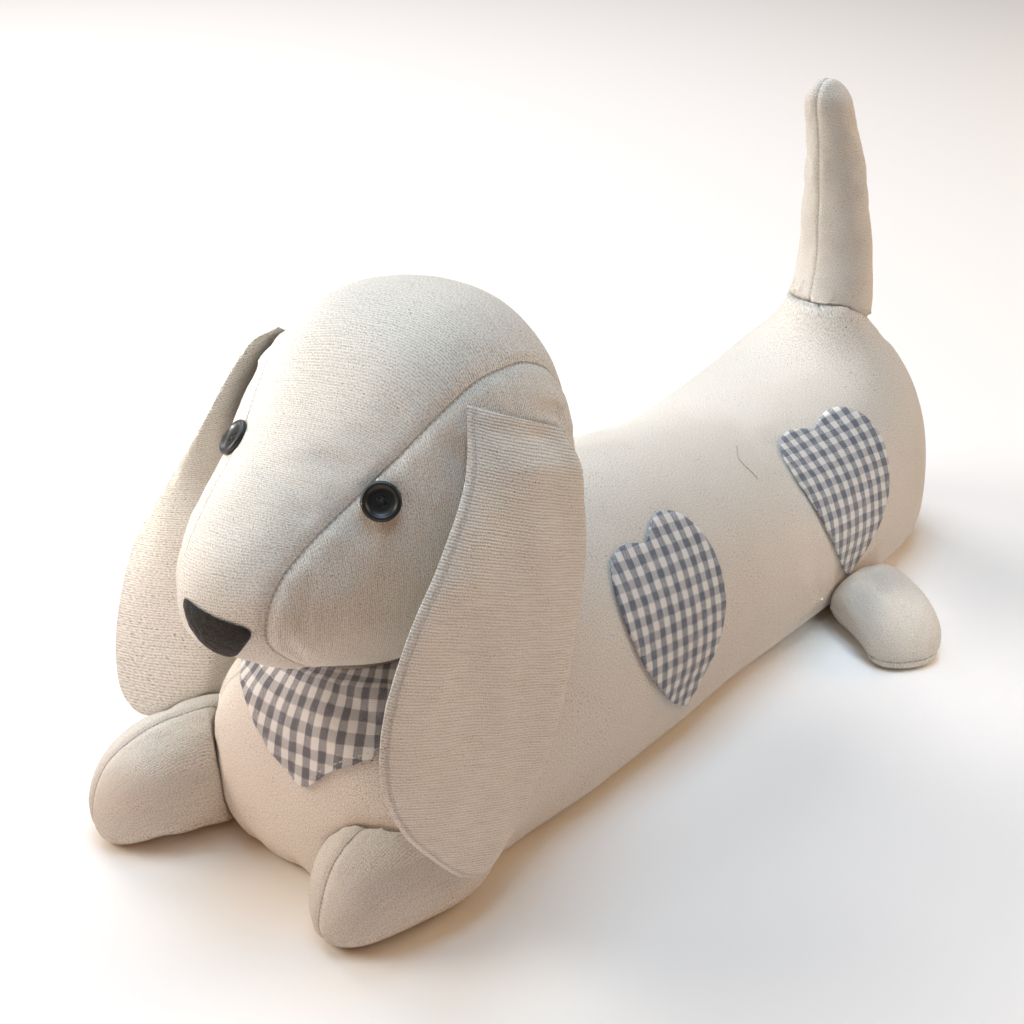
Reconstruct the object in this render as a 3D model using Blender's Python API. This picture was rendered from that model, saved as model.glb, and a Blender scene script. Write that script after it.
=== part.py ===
"""A stuffed draught excluder in the shape of a long-eared dog, in ecru canvas with gingham trim.

Metres, +Z up. The dog lies on the floor along Y, its nose towards -Y and its left flank towards +X.
Lengths along the dog are measured from the foot of the chest, and the whole dog then hangs on one
empty that puts the part's origin under the middle of its box.
"""

import math
from collections import namedtuple

import bmesh
import bpy
import numpy as np
from mathutils import Matrix, Vector
from mathutils.bvhtree import BVHTree

# Driving dimensions.
REACH_FRONT = 0.0545     # how far the nose stands in front of the foot of the chest
REACH_REAR = 0.583       # how far the rump ends behind it
GAP = 0.0003             # between one piece and the next
SLACK = 1.25             # more at a cutter's corners, where its flats would come closer than that
PRESS = 0.006            # height over which filled cloth turns up from the floor
EAR_EDGE = 0.0035        # thickness of an ear at its sewn edge
EAR_MIDDLE = 0.0085      # and in its padded middle
TURNED_SHARE = 0.45      # how much of an ear's width is turned out with its front edge
PATCH_THICK = 0.0012     # one layer of gingham
PATCH_LIFT = 0.0009      # between a patch and the round side it lies on
FLANK_RADIUS = 0.093     # of the body's round side
FLANK_MIDDLE = 0.050
MUZZLE_MIDDLE = (0, -0.005, 0.188)
REACH_NOSE = -0.048
NOSE_HEIGHT = 0.181      # above the floor, at the middle of the nose
NOSE_LIFT = 0.0008
NOSE_THICK = 0.0018
NOSE_ROUND = 0.0095      # how far from a corner its rounding starts
NECK_MIDDLE = (0, 0.090, 0.050)
KERCHIEF_POINT = 10      # degrees to the left of straight ahead
KERCHIEF_SIDES = 56
KERCHIEF_ROWS = 6
KERCHIEF_LIFT = 0.0012
KERCHIEF_THICK = 0.0020
EYE_LEFT = (0.0520, 0.0165, 0.2404)
EYE_RIGHT = (-0.0452, 0.0155, 0.2442)
EYE_LIFT = 0.0005
BUTTON_SIDES = 24
HOLE_OUT = 0.0021
HOLE_RADIUS = 0.0010

# A button's turned profile, from the middle of its back to the middle of its sunk face.
BUTTON_PROFILE = [
    (0.0084, 0.0000),
    (0.0098, 0.0007),
    (0.0100, 0.0018),
    (0.0096, 0.0029),
    (0.0088, 0.0033),
    (0.0076, 0.0031),
    (0.0066, 0.0022),
    (0.0045, 0.0020),
]

CANVAS = ("ecru_canvas", (0.62, 0.52, 0.41), 0.9)
GINGHAM = ("gingham_cotton", (0.42, 0.44, 0.50), 0.85)
FELT = ("charcoal_felt", (0.035, 0.032, 0.032), 0.95)
PLASTIC = ("button_plastic", (0.012, 0.012, 0.013), 0.35)

# A section across a filled piece: where it is along the piece, the height of its middle, its half
# width,
# how far it rises above the middle and drops below it, and how square it is above and below (2 is
# an ellipse).
Section = namedtuple("Section", "along middle half_width rise drop square_above square_below")

BODY = [
    Section(-0.008, 0.056, 0.000, 0.000, 0.000, 2.2, 2.6),
    Section(-0.005, 0.056, 0.047, 0.042, 0.044, 2.2, 2.6),
    Section(0.003, 0.054, 0.069, 0.064, 0.066, 2.2, 2.7),
    Section(0.024, 0.052, 0.082, 0.081, 0.072, 2.2, 3.0),
    Section(0.065, 0.050, 0.088, 0.094, 0.070, 2.1, 3.2),
    Section(0.140, 0.050, 0.091, 0.103, 0.070, 2.1, 3.3),
    Section(0.230, 0.050, 0.091, 0.109, 0.070, 2.1, 3.3),
    Section(0.320, 0.050, 0.090, 0.094, 0.070, 2.1, 3.3),
    Section(0.400, 0.050, 0.090, 0.083, 0.070, 2.1, 3.3),
    Section(0.470, 0.050, 0.091, 0.091, 0.070, 2.1, 3.3),
    Section(0.524, 0.048, 0.084, 0.110, 0.070, 2.1, 3.6),
    Section(0.558, 0.046, 0.067, 0.092, 0.069, 2.1, 3.9),
    Section(0.576, 0.045, 0.041, 0.050, 0.056, 2.1, 3.3),
    Section(0.583, 0.045, 0.000, 0.000, 0.000, 2.1, 2.6),
]

HEAD = [
    Section(-0.052, 0.184, 0.000, 0.000, 0.000, 2.2, 1.9),
    Section(-0.049, 0.186, 0.017, 0.016, 0.013, 2.2, 1.9),
    Section(-0.038, 0.189, 0.036, 0.030, 0.026, 2.2, 1.9),
    Section(-0.016, 0.193, 0.052, 0.043, 0.048, 2.2, 1.9),
    Section(0.005, 0.198, 0.061, 0.052, 0.061, 2.2, 2.1),
    Section(0.030, 0.205, 0.074, 0.065, 0.076, 2.3, 2.1),
    Section(0.055, 0.212, 0.080, 0.083, 0.086, 2.4, 2.2),
    Section(0.082, 0.216, 0.085, 0.091, 0.093, 2.4, 2.2),
    Section(0.114, 0.216, 0.083, 0.092, 0.094, 2.4, 2.2),
    Section(0.142, 0.212, 0.072, 0.087, 0.084, 2.3, 2.2),
    Section(0.162, 0.206, 0.049, 0.064, 0.056, 2.2, 2.0),
    Section(0.172, 0.202, 0.000, 0.000, 0.000, 2.0, 2.0),
]

TAIL = [
    Section(0.118, -0.520, 0.000, 0.000, 0.000, 2.0, 2.0),
    Section(0.122, -0.520, 0.022, 0.030, 0.020, 2.0, 2.0),
    Section(0.140, -0.522, 0.033, 0.048, 0.035, 2.0, 2.0),
    Section(0.162, -0.529, 0.028, 0.037, 0.031, 2.0, 2.0),
    Section(0.200, -0.530, 0.025, 0.026, 0.026, 2.0, 2.0),
    Section(0.245, -0.525, 0.022, 0.023, 0.020, 2.0, 2.0),
    Section(0.290, -0.514, 0.018, 0.019, 0.016, 2.0, 2.0),
    Section(0.318, -0.505, 0.014, 0.015, 0.013, 2.0, 2.0),
    Section(0.331, -0.501, 0.000, 0.000, 0.000, 2.0, 2.0),
]

# A front paw, along its own line from its root inside the body to its pinched tip.
FRONT_PAW = [
    Section(-0.050, 0.034, 0.000, 0.000, 0.000, 2.0, 2.2),
    Section(-0.044, 0.034, 0.018, 0.018, 0.020, 2.0, 2.2),
    Section(-0.020, 0.034, 0.029, 0.034, 0.042, 2.2, 2.2),
    Section(0.010, 0.033, 0.031, 0.036, 0.038, 2.1, 2.2),
    Section(0.036, 0.029, 0.029, 0.034, 0.035, 2.1, 2.1),
    Section(0.057, 0.022, 0.019, 0.026, 0.026, 2.0, 2.0),
    Section(0.067, 0.016, 0.000, 0.000, 0.000, 2.0, 2.0),
]

HIND_PAW = [
    Section(-0.040, 0.018, 0.000, 0.000, 0.000, 2.0, 2.4),
    Section(-0.034, 0.018, 0.018, 0.004, 0.016, 2.0, 2.4),
    Section(-0.010, 0.018, 0.026, 0.007, 0.024, 2.1, 2.4),
    Section(0.016, 0.020, 0.029, 0.015, 0.027, 2.1, 2.4),
    Section(0.055, 0.020, 0.027, 0.020, 0.027, 2.2, 2.6),
    Section(0.079, 0.013, 0.023, 0.016, 0.021, 2.2, 2.8),
    Section(0.088, 0.006, 0.000, 0.000, 0.000, 2.0, 2.6),
]

# A row across an ear, from its sewn top to its round tip: the row's two ends, how far its middle
# bows
# out, and how far its front edge is turned outwards from the line of the rest.
EarRow = namedtuple("EarRow", "front_x front_y front_z back_x back_y back_z bow turned_out")

LEFT_EAR = [
    EarRow(0.064, 0.066, 0.277, 0.080, 0.116, 0.252, 0.006, 0.000),
    EarRow(0.080, 0.046, 0.249, 0.091, 0.121, 0.228, 0.005, 0.000),
    EarRow(0.090, 0.015, 0.222, 0.097, 0.120, 0.192, 0.003, 0.000),
    EarRow(0.096, -0.015, 0.197, 0.100, 0.112, 0.158, 0.001, 0.000),
    EarRow(0.099, -0.037, 0.163, 0.102, 0.100, 0.118, 0.000, 0.000),
    EarRow(0.100, -0.041, 0.128, 0.102, 0.085, 0.082, 0.000, 0.000),
    EarRow(0.100, -0.028, 0.093, 0.101, 0.066, 0.054, 0.000, 0.000),
    EarRow(0.100, -0.003, 0.059, 0.100, 0.043, 0.034, 0.000, 0.000),
    EarRow(0.100, 0.013, 0.041, 0.100, 0.028, 0.031, 0.000, 0.000),
]

RIGHT_EAR = [
    EarRow(-0.061, 0.081, 0.293, -0.077, 0.118, 0.257, -0.006, 0.000),
    EarRow(-0.080, 0.057, 0.269, -0.091, 0.121, 0.228, -0.005, 0.000),
    EarRow(-0.092, 0.029, 0.226, -0.096, 0.118, 0.192, -0.003, 0.002),
    EarRow(-0.122, 0.030, 0.184, -0.100, 0.113, 0.162, 0.000, 0.020),
    EarRow(-0.143, 0.022, 0.146, -0.102, 0.104, 0.132, 0.000, 0.040),
    EarRow(-0.150, 0.010, 0.098, -0.102, 0.090, 0.104, 0.000, 0.046),
    EarRow(-0.140, -0.001, 0.068, -0.100, 0.064, 0.078, 0.000, 0.038),
    EarRow(-0.126, -0.003, 0.056, -0.096, 0.044, 0.060, 0.000, 0.026),
    EarRow(-0.114, 0.003, 0.052, -0.095, 0.032, 0.053, 0.000, 0.014),
]

# A heart: where its middle is along the dog, and in degrees how far up the round side and how far
# it leans.
Heart = namedtuple("Heart", "along height_angle lean")

HEARTS = {
    "heart_front": Heart(0.227, 22.8, 6),
    "heart_rear": Heart(0.427, 25.6, -5),
}

# One half of a heart's outline, from its notch to its tip: how far across and how far up from its
# middle.
HEART_HALF = [
    (0.0000, 0.0470),
    (0.0100, 0.0530),
    (0.0220, 0.0560),
    (0.0345, 0.0510),
    (0.0430, 0.0390),
    (0.0465, 0.0220),
    (0.0445, 0.0030),
    (0.0380, -0.0160),
    (0.0275, -0.0330),
    (0.0145, -0.0490),
    (0.0000, -0.0620),
]

# The nose's corners before rounding, across and up from its middle.
NOSE_CORNERS = [(-0.0225, 0.0135), (0.0265, 0.0070), (0.0020, -0.0190)]

# Round the neck: degrees to the left of straight ahead, then the kerchief's inner and outer edge as
# degrees
# above the floor, seen from the middle of the shoulders.
KERCHIEF = [
    (-180, 49.5, 43),
    (-150, 49.5, 43),
    (-120, 54, 48),
    (-90, 57.5, 49),
    (-60, 57, 47),
    (-45, 54.5, 40),
    (-32, 51, 33),
    (-17, 48, 28.6),
    (-5, 47, 20.2),
    (10, 47, 12.2),
    (19, 48, 21),
    (33, 51, 26.8),
    (50, 55.5, 37),
    (65, 57, 47),
    (90, 57.5, 49),
    (120, 54, 48),
    (150, 49.5, 43),
    (180, 49.5, 43),
]


def clear_scene():
    for old in list(bpy.data.objects):
        bpy.data.objects.remove(old)


def material(finish):
    """A plain Principled material of a finish's colour and roughness."""
    name, colour, roughness = finish
    if name in bpy.data.materials:
        return bpy.data.materials[name]
    made = bpy.data.materials.new(name)
    made.use_nodes = True
    shader = made.node_tree.nodes["Principled BSDF"]
    shader.inputs["Base Color"].default_value = (*colour, 1.0)
    shader.inputs["Roughness"].default_value = roughness
    made.diffuse_color = (*colour, 1.0)
    return made


def piece(name, mesh, finish, root):
    """A mesh from bmesh as a named object on the dog's root, faces outwards and smooth."""
    bmesh.ops.remove_doubles(mesh, verts=mesh.verts, dist=1e-6)
    bmesh.ops.triangulate(mesh, faces=mesh.faces)
    bmesh.ops.recalc_face_normals(mesh, faces=mesh.faces)
    data = bpy.data.meshes.new(name)
    mesh.to_mesh(data)
    mesh.free()
    data.shade_smooth()
    data.materials.append(material(finish))
    made = bpy.data.objects.new(name, data)
    bpy.context.collection.objects.link(made)
    made.parent = root
    return made


def smooth_rows(rows, steps, round_ends=True):
    """Rows on the smooth curve through a table's rows. A round end has its last row at zero size."""
    table = np.array(rows, float)
    first, last = 2 * table[0] - table[1], 2 * table[-1] - table[-2]
    if round_ends:
        through = [0, 1, 2, 4, 3, 5, 6]
        sign = np.array([1, 1, -1, -1, -1, 1, 1])
        first, last = table[1][through] * sign, table[-2][through] * sign
    padded = np.vstack([first, table, last])
    out = []
    for k in range(len(table) - 1):
        before, start, end, after = padded[k:k + 4]
        for t in np.arange(steps) / steps:
            bend = 2 * before - 5 * start + 4 * end - after
            twist = 3 * start - before - 3 * end + after
            out.append(0.5 * (2 * start + (end - before) * t + bend * t ** 2 + twist * t ** 3))
    out.append(table[-1])
    return out


def pressed(height):
    """A height with whatever lies under the floor pressed flat on it, through a soft corner."""
    share = min(max(0.5 + 0.5 * height / PRESS, 0.0), 1.0)
    return height * share + PRESS * share * (1 - share)


def ring_point(section, angle):
    """A point on a section's rim, as (sideways, along, up)."""
    along, middle, half_width, rise, drop, square_above, square_below = section
    c, s = math.cos(angle), math.sin(angle)
    power, reach = (2 / square_above, rise) if s >= 0 else (2 / square_below, drop)
    sideways = half_width * math.copysign(abs(c) ** power, c)
    up = middle + reach * math.copysign(abs(s) ** power, s)
    return Vector((sideways, along, up))


def loft(sections, sides, steps, place=Matrix.Identity(4), on_floor=True):
    """One closed filled form through a table of sections."""
    mesh = bmesh.new()
    rings = []
    for section in smooth_rows(sections, steps):
        ring = []
        for k in range(sides):
            point = place @ ring_point(section, 2 * math.pi * (k + 0.5) / sides)
            if on_floor:
                point.z = pressed(point.z)
            ring.append(mesh.verts.new(point))
        rings.append(ring)
    for here, there in zip(rings, rings[1:]):
        for k in range(sides):
            n = (k + 1) % sides
            mesh.faces.new((here[k], here[n], there[n], there[k]))
    return mesh


def cut_clear(made, neighbour):
    """Cuts a piece back to the gap from the neighbour that it is sewn to."""
    cutter = bpy.data.objects.new(f"{made.name}_cutter", neighbour.data.copy())
    bpy.context.collection.objects.link(cutter)
    cutter.parent = made.parent
    for vertex in cutter.data.vertices:
        vertex.co += vertex.normal * GAP * SLACK
    cutter.hide_render = True
    cutter.display_type = "WIRE"
    cut = made.modifiers.new("cut", "BOOLEAN")
    cut.operation = "DIFFERENCE"
    cut.object = cutter


def ear(rows, outward, across=12, steps=2):
    """A long padded ear of two layers, flat at its sewn edge and fuller in the middle."""
    mesh = bmesh.new()
    lines = smooth_rows(rows, steps, round_ends=False)
    faces = {}
    for side in (-1, 1):
        grid = []
        for j, line in enumerate(lines):
            front, back, bow, turned_out = Vector(line[:3]), Vector(line[3:6]), line[6], line[7]
            front.x -= outward * turned_out
            down = j / (len(lines) - 1)
            line_points = []
            for i in range(across + 1):
                share = i / across
                full = (4 * share * (1 - share) * 4 * down * (1 - down)) ** 0.5
                thick = EAR_EDGE + (EAR_MIDDLE - EAR_EDGE) * full
                point = front.lerp(back, share)
                flare = turned_out * max(0.0, 1 - share / TURNED_SHARE) ** 1.5
                point.x += 4 * share * (1 - share) * bow + outward * flare + side * outward * thick / 2
                line_points.append(mesh.verts.new(point))
            grid.append(line_points)
        faces[side] = grid
        for a, b in zip(grid, grid[1:]):
            for i in range(across):
                mesh.faces.new((a[i], a[i + 1], b[i + 1], b[i]))
    inner, outer = faces[-1], faces[1]
    rim_in = inner[0] + [r[-1] for r in inner[1:]] + inner[-1][-2::-1] + [r[0] for r in inner[-2:0:-1]]
    rim_out = outer[0] + [r[-1] for r in outer[1:]] + outer[-1][-2::-1] + [r[0] for r in outer[-2:0:-1]]
    for k in range(len(rim_in)):
        n = (k + 1) % len(rim_in)
        mesh.faces.new((rim_in[k], rim_in[n], rim_out[n], rim_out[k]))
    return mesh


def surface_of(made):
    """A piece's surface, in the same lengths as the tables."""
    mesh = made.data
    return BVHTree.FromPolygons([v.co for v in mesh.vertices], [p.vertices[:] for p in mesh.polygons])


def outermost(surface, start, aim):
    """Where a line from inside a filled piece comes out of it, and the way out of it there."""
    aim = aim.normalized()
    spot, outward, _, _ = surface.ray_cast(start, aim)
    outward = outward if outward.dot(aim) > 0 else -outward
    return spot, (outward + aim).normalized()


def patch(outline, on_surface, lift, thick, rings):
    """One layer of cloth cut to an outline round its own middle and laid over a filled piece."""
    mesh = bmesh.new()
    layers = []
    for height in (lift, lift + thick):
        grid = []
        for ring in range(rings + 1):
            points = outline if ring else [(0.0, 0.0)]
            row = []
            for across, up in points:
                spot, outward = on_surface(across * ring / rings, up * ring / rings)
                row.append(mesh.verts.new(spot + outward * height))
            grid.append(row)
        layers.append(grid)
    sides = len(outline)
    for grid in layers:
        for ring in range(1, rings + 1):
            for k in range(sides):
                n = (k + 1) % sides
                if ring == 1:
                    mesh.faces.new((grid[0][0], grid[1][k], grid[1][n]))
                else:
                    mesh.faces.new((grid[ring - 1][k], grid[ring][k], grid[ring][n], grid[ring - 1][n]))
    low, high = layers[0][rings], layers[1][rings]
    for k in range(sides):
        n = (k + 1) % sides
        mesh.faces.new((low[k], low[n], high[n], high[k]))
    return mesh


def heart(surface, place):
    """A gingham heart on the left flank, notch up, following the body's round side."""
    lean = math.radians(place.lean)
    half = smooth_rows(HEART_HALF, 2, round_ends=False)
    outline = []
    for across, up in half + [(-across, up) for across, up in half[-2:0:-1]]:
        outline.append((across * math.cos(lean) - up * math.sin(lean),
                        across * math.sin(lean) + up * math.cos(lean)))

    def on_flank(across, up):
        angle = math.radians(place.height_angle) + up / FLANK_RADIUS
        start = Vector((0, place.along + across, FLANK_MIDDLE))
        return outermost(surface, start, Vector((math.cos(angle), 0, math.sin(angle))))

    return patch(outline, on_flank, PATCH_LIFT, PATCH_THICK, 4)


def nose(surface):
    """The felt nose: a triangle with round corners, on the front of the muzzle."""
    outline = []
    for k, corner in enumerate(NOSE_CORNERS):
        corner, last, following = Vector(corner), Vector(NOSE_CORNERS[k - 1]), Vector(NOSE_CORNERS[(k + 1) % 3])
        start = corner + (last - corner).normalized() * NOSE_ROUND
        end = corner + (following - corner).normalized() * NOSE_ROUND
        for step in range(4):
            t = step / 4
            outline.append(start.lerp(corner, t).lerp(corner.lerp(end, t), t))
        side_end = following + (corner - following).normalized() * NOSE_ROUND
        outline += [end.lerp(side_end, step / 5) for step in range(5)]

    def on_muzzle(across, up):
        start = Vector(MUZZLE_MIDDLE)
        return outermost(surface, start, Vector((across, REACH_NOSE, NOSE_HEIGHT + up)) - start)

    return patch(outline, on_muzzle, NOSE_LIFT, NOSE_THICK, 4)


def kerchief(surface):
    """The kerchief: a folded band right round the neck, with its point hanging down the chest."""
    mesh = bmesh.new()
    angles = [KERCHIEF_POINT - 180 + 360 * k / KERCHIEF_SIDES for k in range(KERCHIEF_SIDES)]
    table = np.array(KERCHIEF, float)
    layers = []
    for height in (KERCHIEF_LIFT, KERCHIEF_LIFT + KERCHIEF_THICK):
        grid = []
        for row in range(KERCHIEF_ROWS + 1):
            line = []
            for angle in angles:
                inner = np.interp(angle, table[:, 0], table[:, 1])
                outer = np.interp(angle, table[:, 0], table[:, 2])
                up = math.radians(inner + (outer - inner) * row / KERCHIEF_ROWS)
                round_neck = math.radians(angle)
                aim = Vector((math.sin(round_neck) * math.cos(up), -math.cos(round_neck) * math.cos(up),
                              math.sin(up)))
                spot, outward = outermost(surface, Vector(NECK_MIDDLE), aim)
                line.append(mesh.verts.new(spot + outward * height))
            grid.append(line)
        layers.append(grid)
    for grid in layers:
        for a, b in zip(grid, grid[1:]):
            for k in range(KERCHIEF_SIDES):
                n = (k + 1) % KERCHIEF_SIDES
                mesh.faces.new((a[k], a[n], b[n], b[k]))
    for row in (0, KERCHIEF_ROWS):
        low, high = layers[0][row], layers[1][row]
        for k in range(KERCHIEF_SIDES):
            n = (k + 1) % KERCHIEF_SIDES
            mesh.faces.new((low[k], low[n], high[n], high[k]))
    return mesh


def button(surface, near):
    """A round button with a raised rim, lying on the head, as (mesh, the matrix that places it)."""
    spot, facing, _, _ = surface.find_nearest(Vector(near))
    mesh = bmesh.new()
    rings = []
    for radius, height in BUTTON_PROFILE:
        ring = []
        for k in range(BUTTON_SIDES):
            angle = 2 * math.pi * k / BUTTON_SIDES
            ring.append(mesh.verts.new((radius * math.cos(angle), radius * math.sin(angle), height)))
        rings.append(ring)
    for here, there in zip(rings, rings[1:]):
        for k in range(BUTTON_SIDES):
            n = (k + 1) % BUTTON_SIDES
            mesh.faces.new((here[k], here[n], there[n], there[k]))
    mesh.faces.new(rings[0])
    mesh.faces.new(rings[-1])
    place = Matrix.Translation(spot + facing * EYE_LIFT) @ facing.to_track_quat("Z", "Y").to_matrix().to_4x4()
    mesh.transform(place)
    return mesh, place


def pierced(made, place):
    """Cuts the four thread holes through a button."""
    drill = bmesh.new()
    for k in range(4):
        angle = math.pi / 4 + math.pi / 2 * k
        spot = place @ Matrix.Translation((HOLE_OUT * math.cos(angle), HOLE_OUT * math.sin(angle), 0))
        bmesh.ops.create_cone(drill, cap_ends=True, segments=8, radius1=HOLE_RADIUS, radius2=HOLE_RADIUS,
                              depth=0.02, matrix=spot)
    data = bpy.data.meshes.new(f"{made.name}_drill")
    drill.to_mesh(data)
    drill.free()
    cutter = bpy.data.objects.new(f"{made.name}_drill", data)
    bpy.context.collection.objects.link(cutter)
    cutter.parent = made.parent
    cutter.hide_render = True
    cutter.display_type = "WIRE"
    cut = made.modifiers.new("holes", "BOOLEAN")
    cut.operation = "DIFFERENCE"
    cut.object = cutter


def turned(x, y, heading):
    """Where a paw's own line starts, and its heading: degrees from straight ahead, towards +X."""
    return Matrix.Translation((x, y, 0)) @ Matrix.Rotation(math.radians(180 + heading), 4, "Z")


def build():
    clear_scene()
    root = bpy.data.objects.new("dog", None)
    bpy.context.collection.objects.link(root)
    root.location.y = -(REACH_REAR - REACH_FRONT) / 2

    body = piece("body", loft(BODY, 40, 3), CANVAS, root)
    head = piece("head", loft(HEAD, 36, 3), CANVAS, root)
    cut_clear(head, body)
    upright = Matrix.Rotation(math.radians(90), 4, "X")
    tail = piece("tail", loft(TAIL, 18, 3, upright, on_floor=False), CANVAS, root)
    cut_clear(tail, body)
    paws = {
        "paw_front_left": (FRONT_PAW, turned(0.060, 0.027, -10)),
        "paw_front_right": (FRONT_PAW, turned(-0.084, 0.009, -24)),
        "paw_hind_left": (HIND_PAW, turned(0.088, 0.440, 54)),
        "paw_hind_right": (HIND_PAW, turned(-0.088, 0.440, -54)),
    }
    for name, (sections, place) in paws.items():
        made = piece(name, loft(sections, 20, 3, place), CANVAS, root)
        cut_clear(made, body)
    cut_clear(piece("ear_left", ear(LEFT_EAR, 1), CANVAS, root), head)
    right = piece("ear_right", ear(RIGHT_EAR, -1), CANVAS, root)
    cut_clear(right, head)
    cut_clear(right, bpy.data.objects["paw_front_right"])

    flanks, face = surface_of(body), surface_of(head)
    piece("bandana", kerchief(flanks), GINGHAM, root)
    for name, place in HEARTS.items():
        piece(name, heart(flanks, place), GINGHAM, root)
    cut_clear(bpy.data.objects["paw_hind_left"], bpy.data.objects["heart_rear"])
    piece("nose", nose(face), FELT, root)
    for name, near in (("eye_left", EYE_LEFT), ("eye_right", EYE_RIGHT)):
        mesh, place = button(face, near)
        pierced(piece(name, mesh, PLASTIC, root), place)


build()
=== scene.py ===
import math

import bmesh
import bpy
import numpy as np
from mathutils import Matrix, Vector, noise
from mathutils.bvhtree import BVHTree


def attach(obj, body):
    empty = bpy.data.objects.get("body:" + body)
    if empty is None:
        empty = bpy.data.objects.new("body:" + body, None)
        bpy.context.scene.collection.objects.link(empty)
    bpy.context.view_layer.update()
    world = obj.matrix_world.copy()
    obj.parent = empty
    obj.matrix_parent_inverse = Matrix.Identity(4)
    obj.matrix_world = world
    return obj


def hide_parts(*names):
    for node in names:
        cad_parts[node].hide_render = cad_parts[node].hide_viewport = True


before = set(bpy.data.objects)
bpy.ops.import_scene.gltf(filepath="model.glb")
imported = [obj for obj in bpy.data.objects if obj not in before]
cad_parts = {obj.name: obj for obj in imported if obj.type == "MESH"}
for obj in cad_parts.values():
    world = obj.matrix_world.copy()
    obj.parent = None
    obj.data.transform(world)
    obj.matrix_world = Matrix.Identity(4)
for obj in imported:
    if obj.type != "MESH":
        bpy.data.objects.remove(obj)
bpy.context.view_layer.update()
scene = bpy.context.scene

# Camera, floor and light.
# The dog lies on a plain pale floor under a wide soft window light from its far side. Narrow
# lamps lift the far ear, the brow and the near hind paw, and warm ones low down stand for what
# a warm floor throws back on its chest.
CAMERA_PLACE = (0.6197, -0.85175, 0.680)
CAMERA_PITCH = 28.3
CAMERA_TURN = 38.9
CAMERA_LENS = 68.94
SENSOR_WIDTH = 36
FLOOR_SIZE = 12
FLOOR_DROP = 0.0005
FLOOR_ROUGHNESS = 0.9
FLOOR_WHITE = (0.97, 0.955, 0.935, 1.0)
SKY = (1.0, 0.985, 0.965, 1.0)
SKY_STRENGTH = 0.03
ON_DOG = (0.0, 0.0, 0.1)
LAMPS = [
    # name, place, aimed at, width, power, colour, spread in degrees
    ("window", (-1.6, -1.2, 1.3), ON_DOG, 1.2, 28.0, (1.0, 0.91, 0.79), 180),
    ("window_behind", (-1.8, 0.4, 1.6), ON_DOG, 1.2, 25.0, (1.0, 0.92, 0.91), 180),
    ("overhead", (0.0, 0.0, 2.2), ON_DOG, 1.2, 28.5, (0.55, 0.78, 1.0), 180),
    ("overhead_front", (0.1, -1.1, 2.0), ON_DOG, 1.2, 3.0, (1.0, 0.80, 0.50), 180),
    ("warm_behind", (1.3, 1.6, 1.2), ON_DOG, 1.2, 22.0, (1.0, 0.66, 0.37), 180),
    ("far_side", (-0.75, -1.20, 0.42), (-0.155, -0.25, 0.205), 0.12, 0.18, (0.97, 0.98, 0.95), 15),
    ("far_brow", (-0.75, -1.20, 0.42), (-0.075, -0.27, 0.235), 0.12, 0.032, (1.0, 0.97, 0.91), 10),
    ("toe_glow", (-0.16, -0.52, 0.03), (-0.04, -0.30, 0.03), 0.20, 0.045, (1.0, 0.34, 0.03), 90),
    ("floor_back", (-1.1, 1.4, 1.4), (-1.1, 1.4, 0.0), 1.6, 1.3, (1.0, 1.0, 1.0), 90),
    ("rear_side", (1.0, -0.20, 0.90), (0.145, 0.14, 0.02), 0.12, 0.028, (1.0, 0.98, 0.92), 9),
    ("floor_glow", (-0.20, -0.85, 0.04), (0.0, -0.22, 0.10), 0.4, 0.20, (1.0, 0.28, 0.02), 180),
    ("flank_glow", (0.60, -0.70, 0.04), (0.05, -0.20, 0.08), 0.4, 1.00, (1.0, 0.40, 0.12), 180),
]

bpy.ops.object.select_all(action="DESELECT")
bpy.ops.object.camera_add(location=CAMERA_PLACE)
camera = bpy.context.object
camera.rotation_euler = (math.radians(90 - CAMERA_PITCH), 0, math.radians(CAMERA_TURN))
camera.data.lens = CAMERA_LENS
camera.data.sensor_width = SENSOR_WIDTH
scene.camera = camera
scene.view_settings.view_transform = "Standard"
scene.view_settings.look = "None"

for lamp_name, place, aim, width, power, colour, spread in LAMPS:
    bpy.ops.object.light_add(type="AREA", location=place)
    lamp = bpy.context.object
    lamp.name = lamp_name
    lamp.rotation_euler = (Vector(aim) - Vector(place)).to_track_quat("-Z", "Y").to_euler()
    lamp.data.size = width
    lamp.data.energy = power
    lamp.data.color = colour
    lamp.data.spread = math.radians(spread)

room = bpy.data.worlds.new("room")
scene.world = room
room.use_nodes = True
room.node_tree.nodes["Background"].inputs["Color"].default_value = SKY
room.node_tree.nodes["Background"].inputs["Strength"].default_value = SKY_STRENGTH

bpy.ops.mesh.primitive_plane_add(size=FLOOR_SIZE, location=(0, 0, -FLOOR_DROP))
floor = bpy.context.object
floor.name = "floor"
floor_white = bpy.data.materials.new("floor_white")
floor_white.use_nodes = True
paint = floor_white.node_tree.nodes["Principled BSDF"]
paint.inputs["Base Color"].default_value = FLOOR_WHITE
paint.inputs["Roughness"].default_value = FLOOR_ROUGHNESS
floor.data.materials.append(floor_white)


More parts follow.
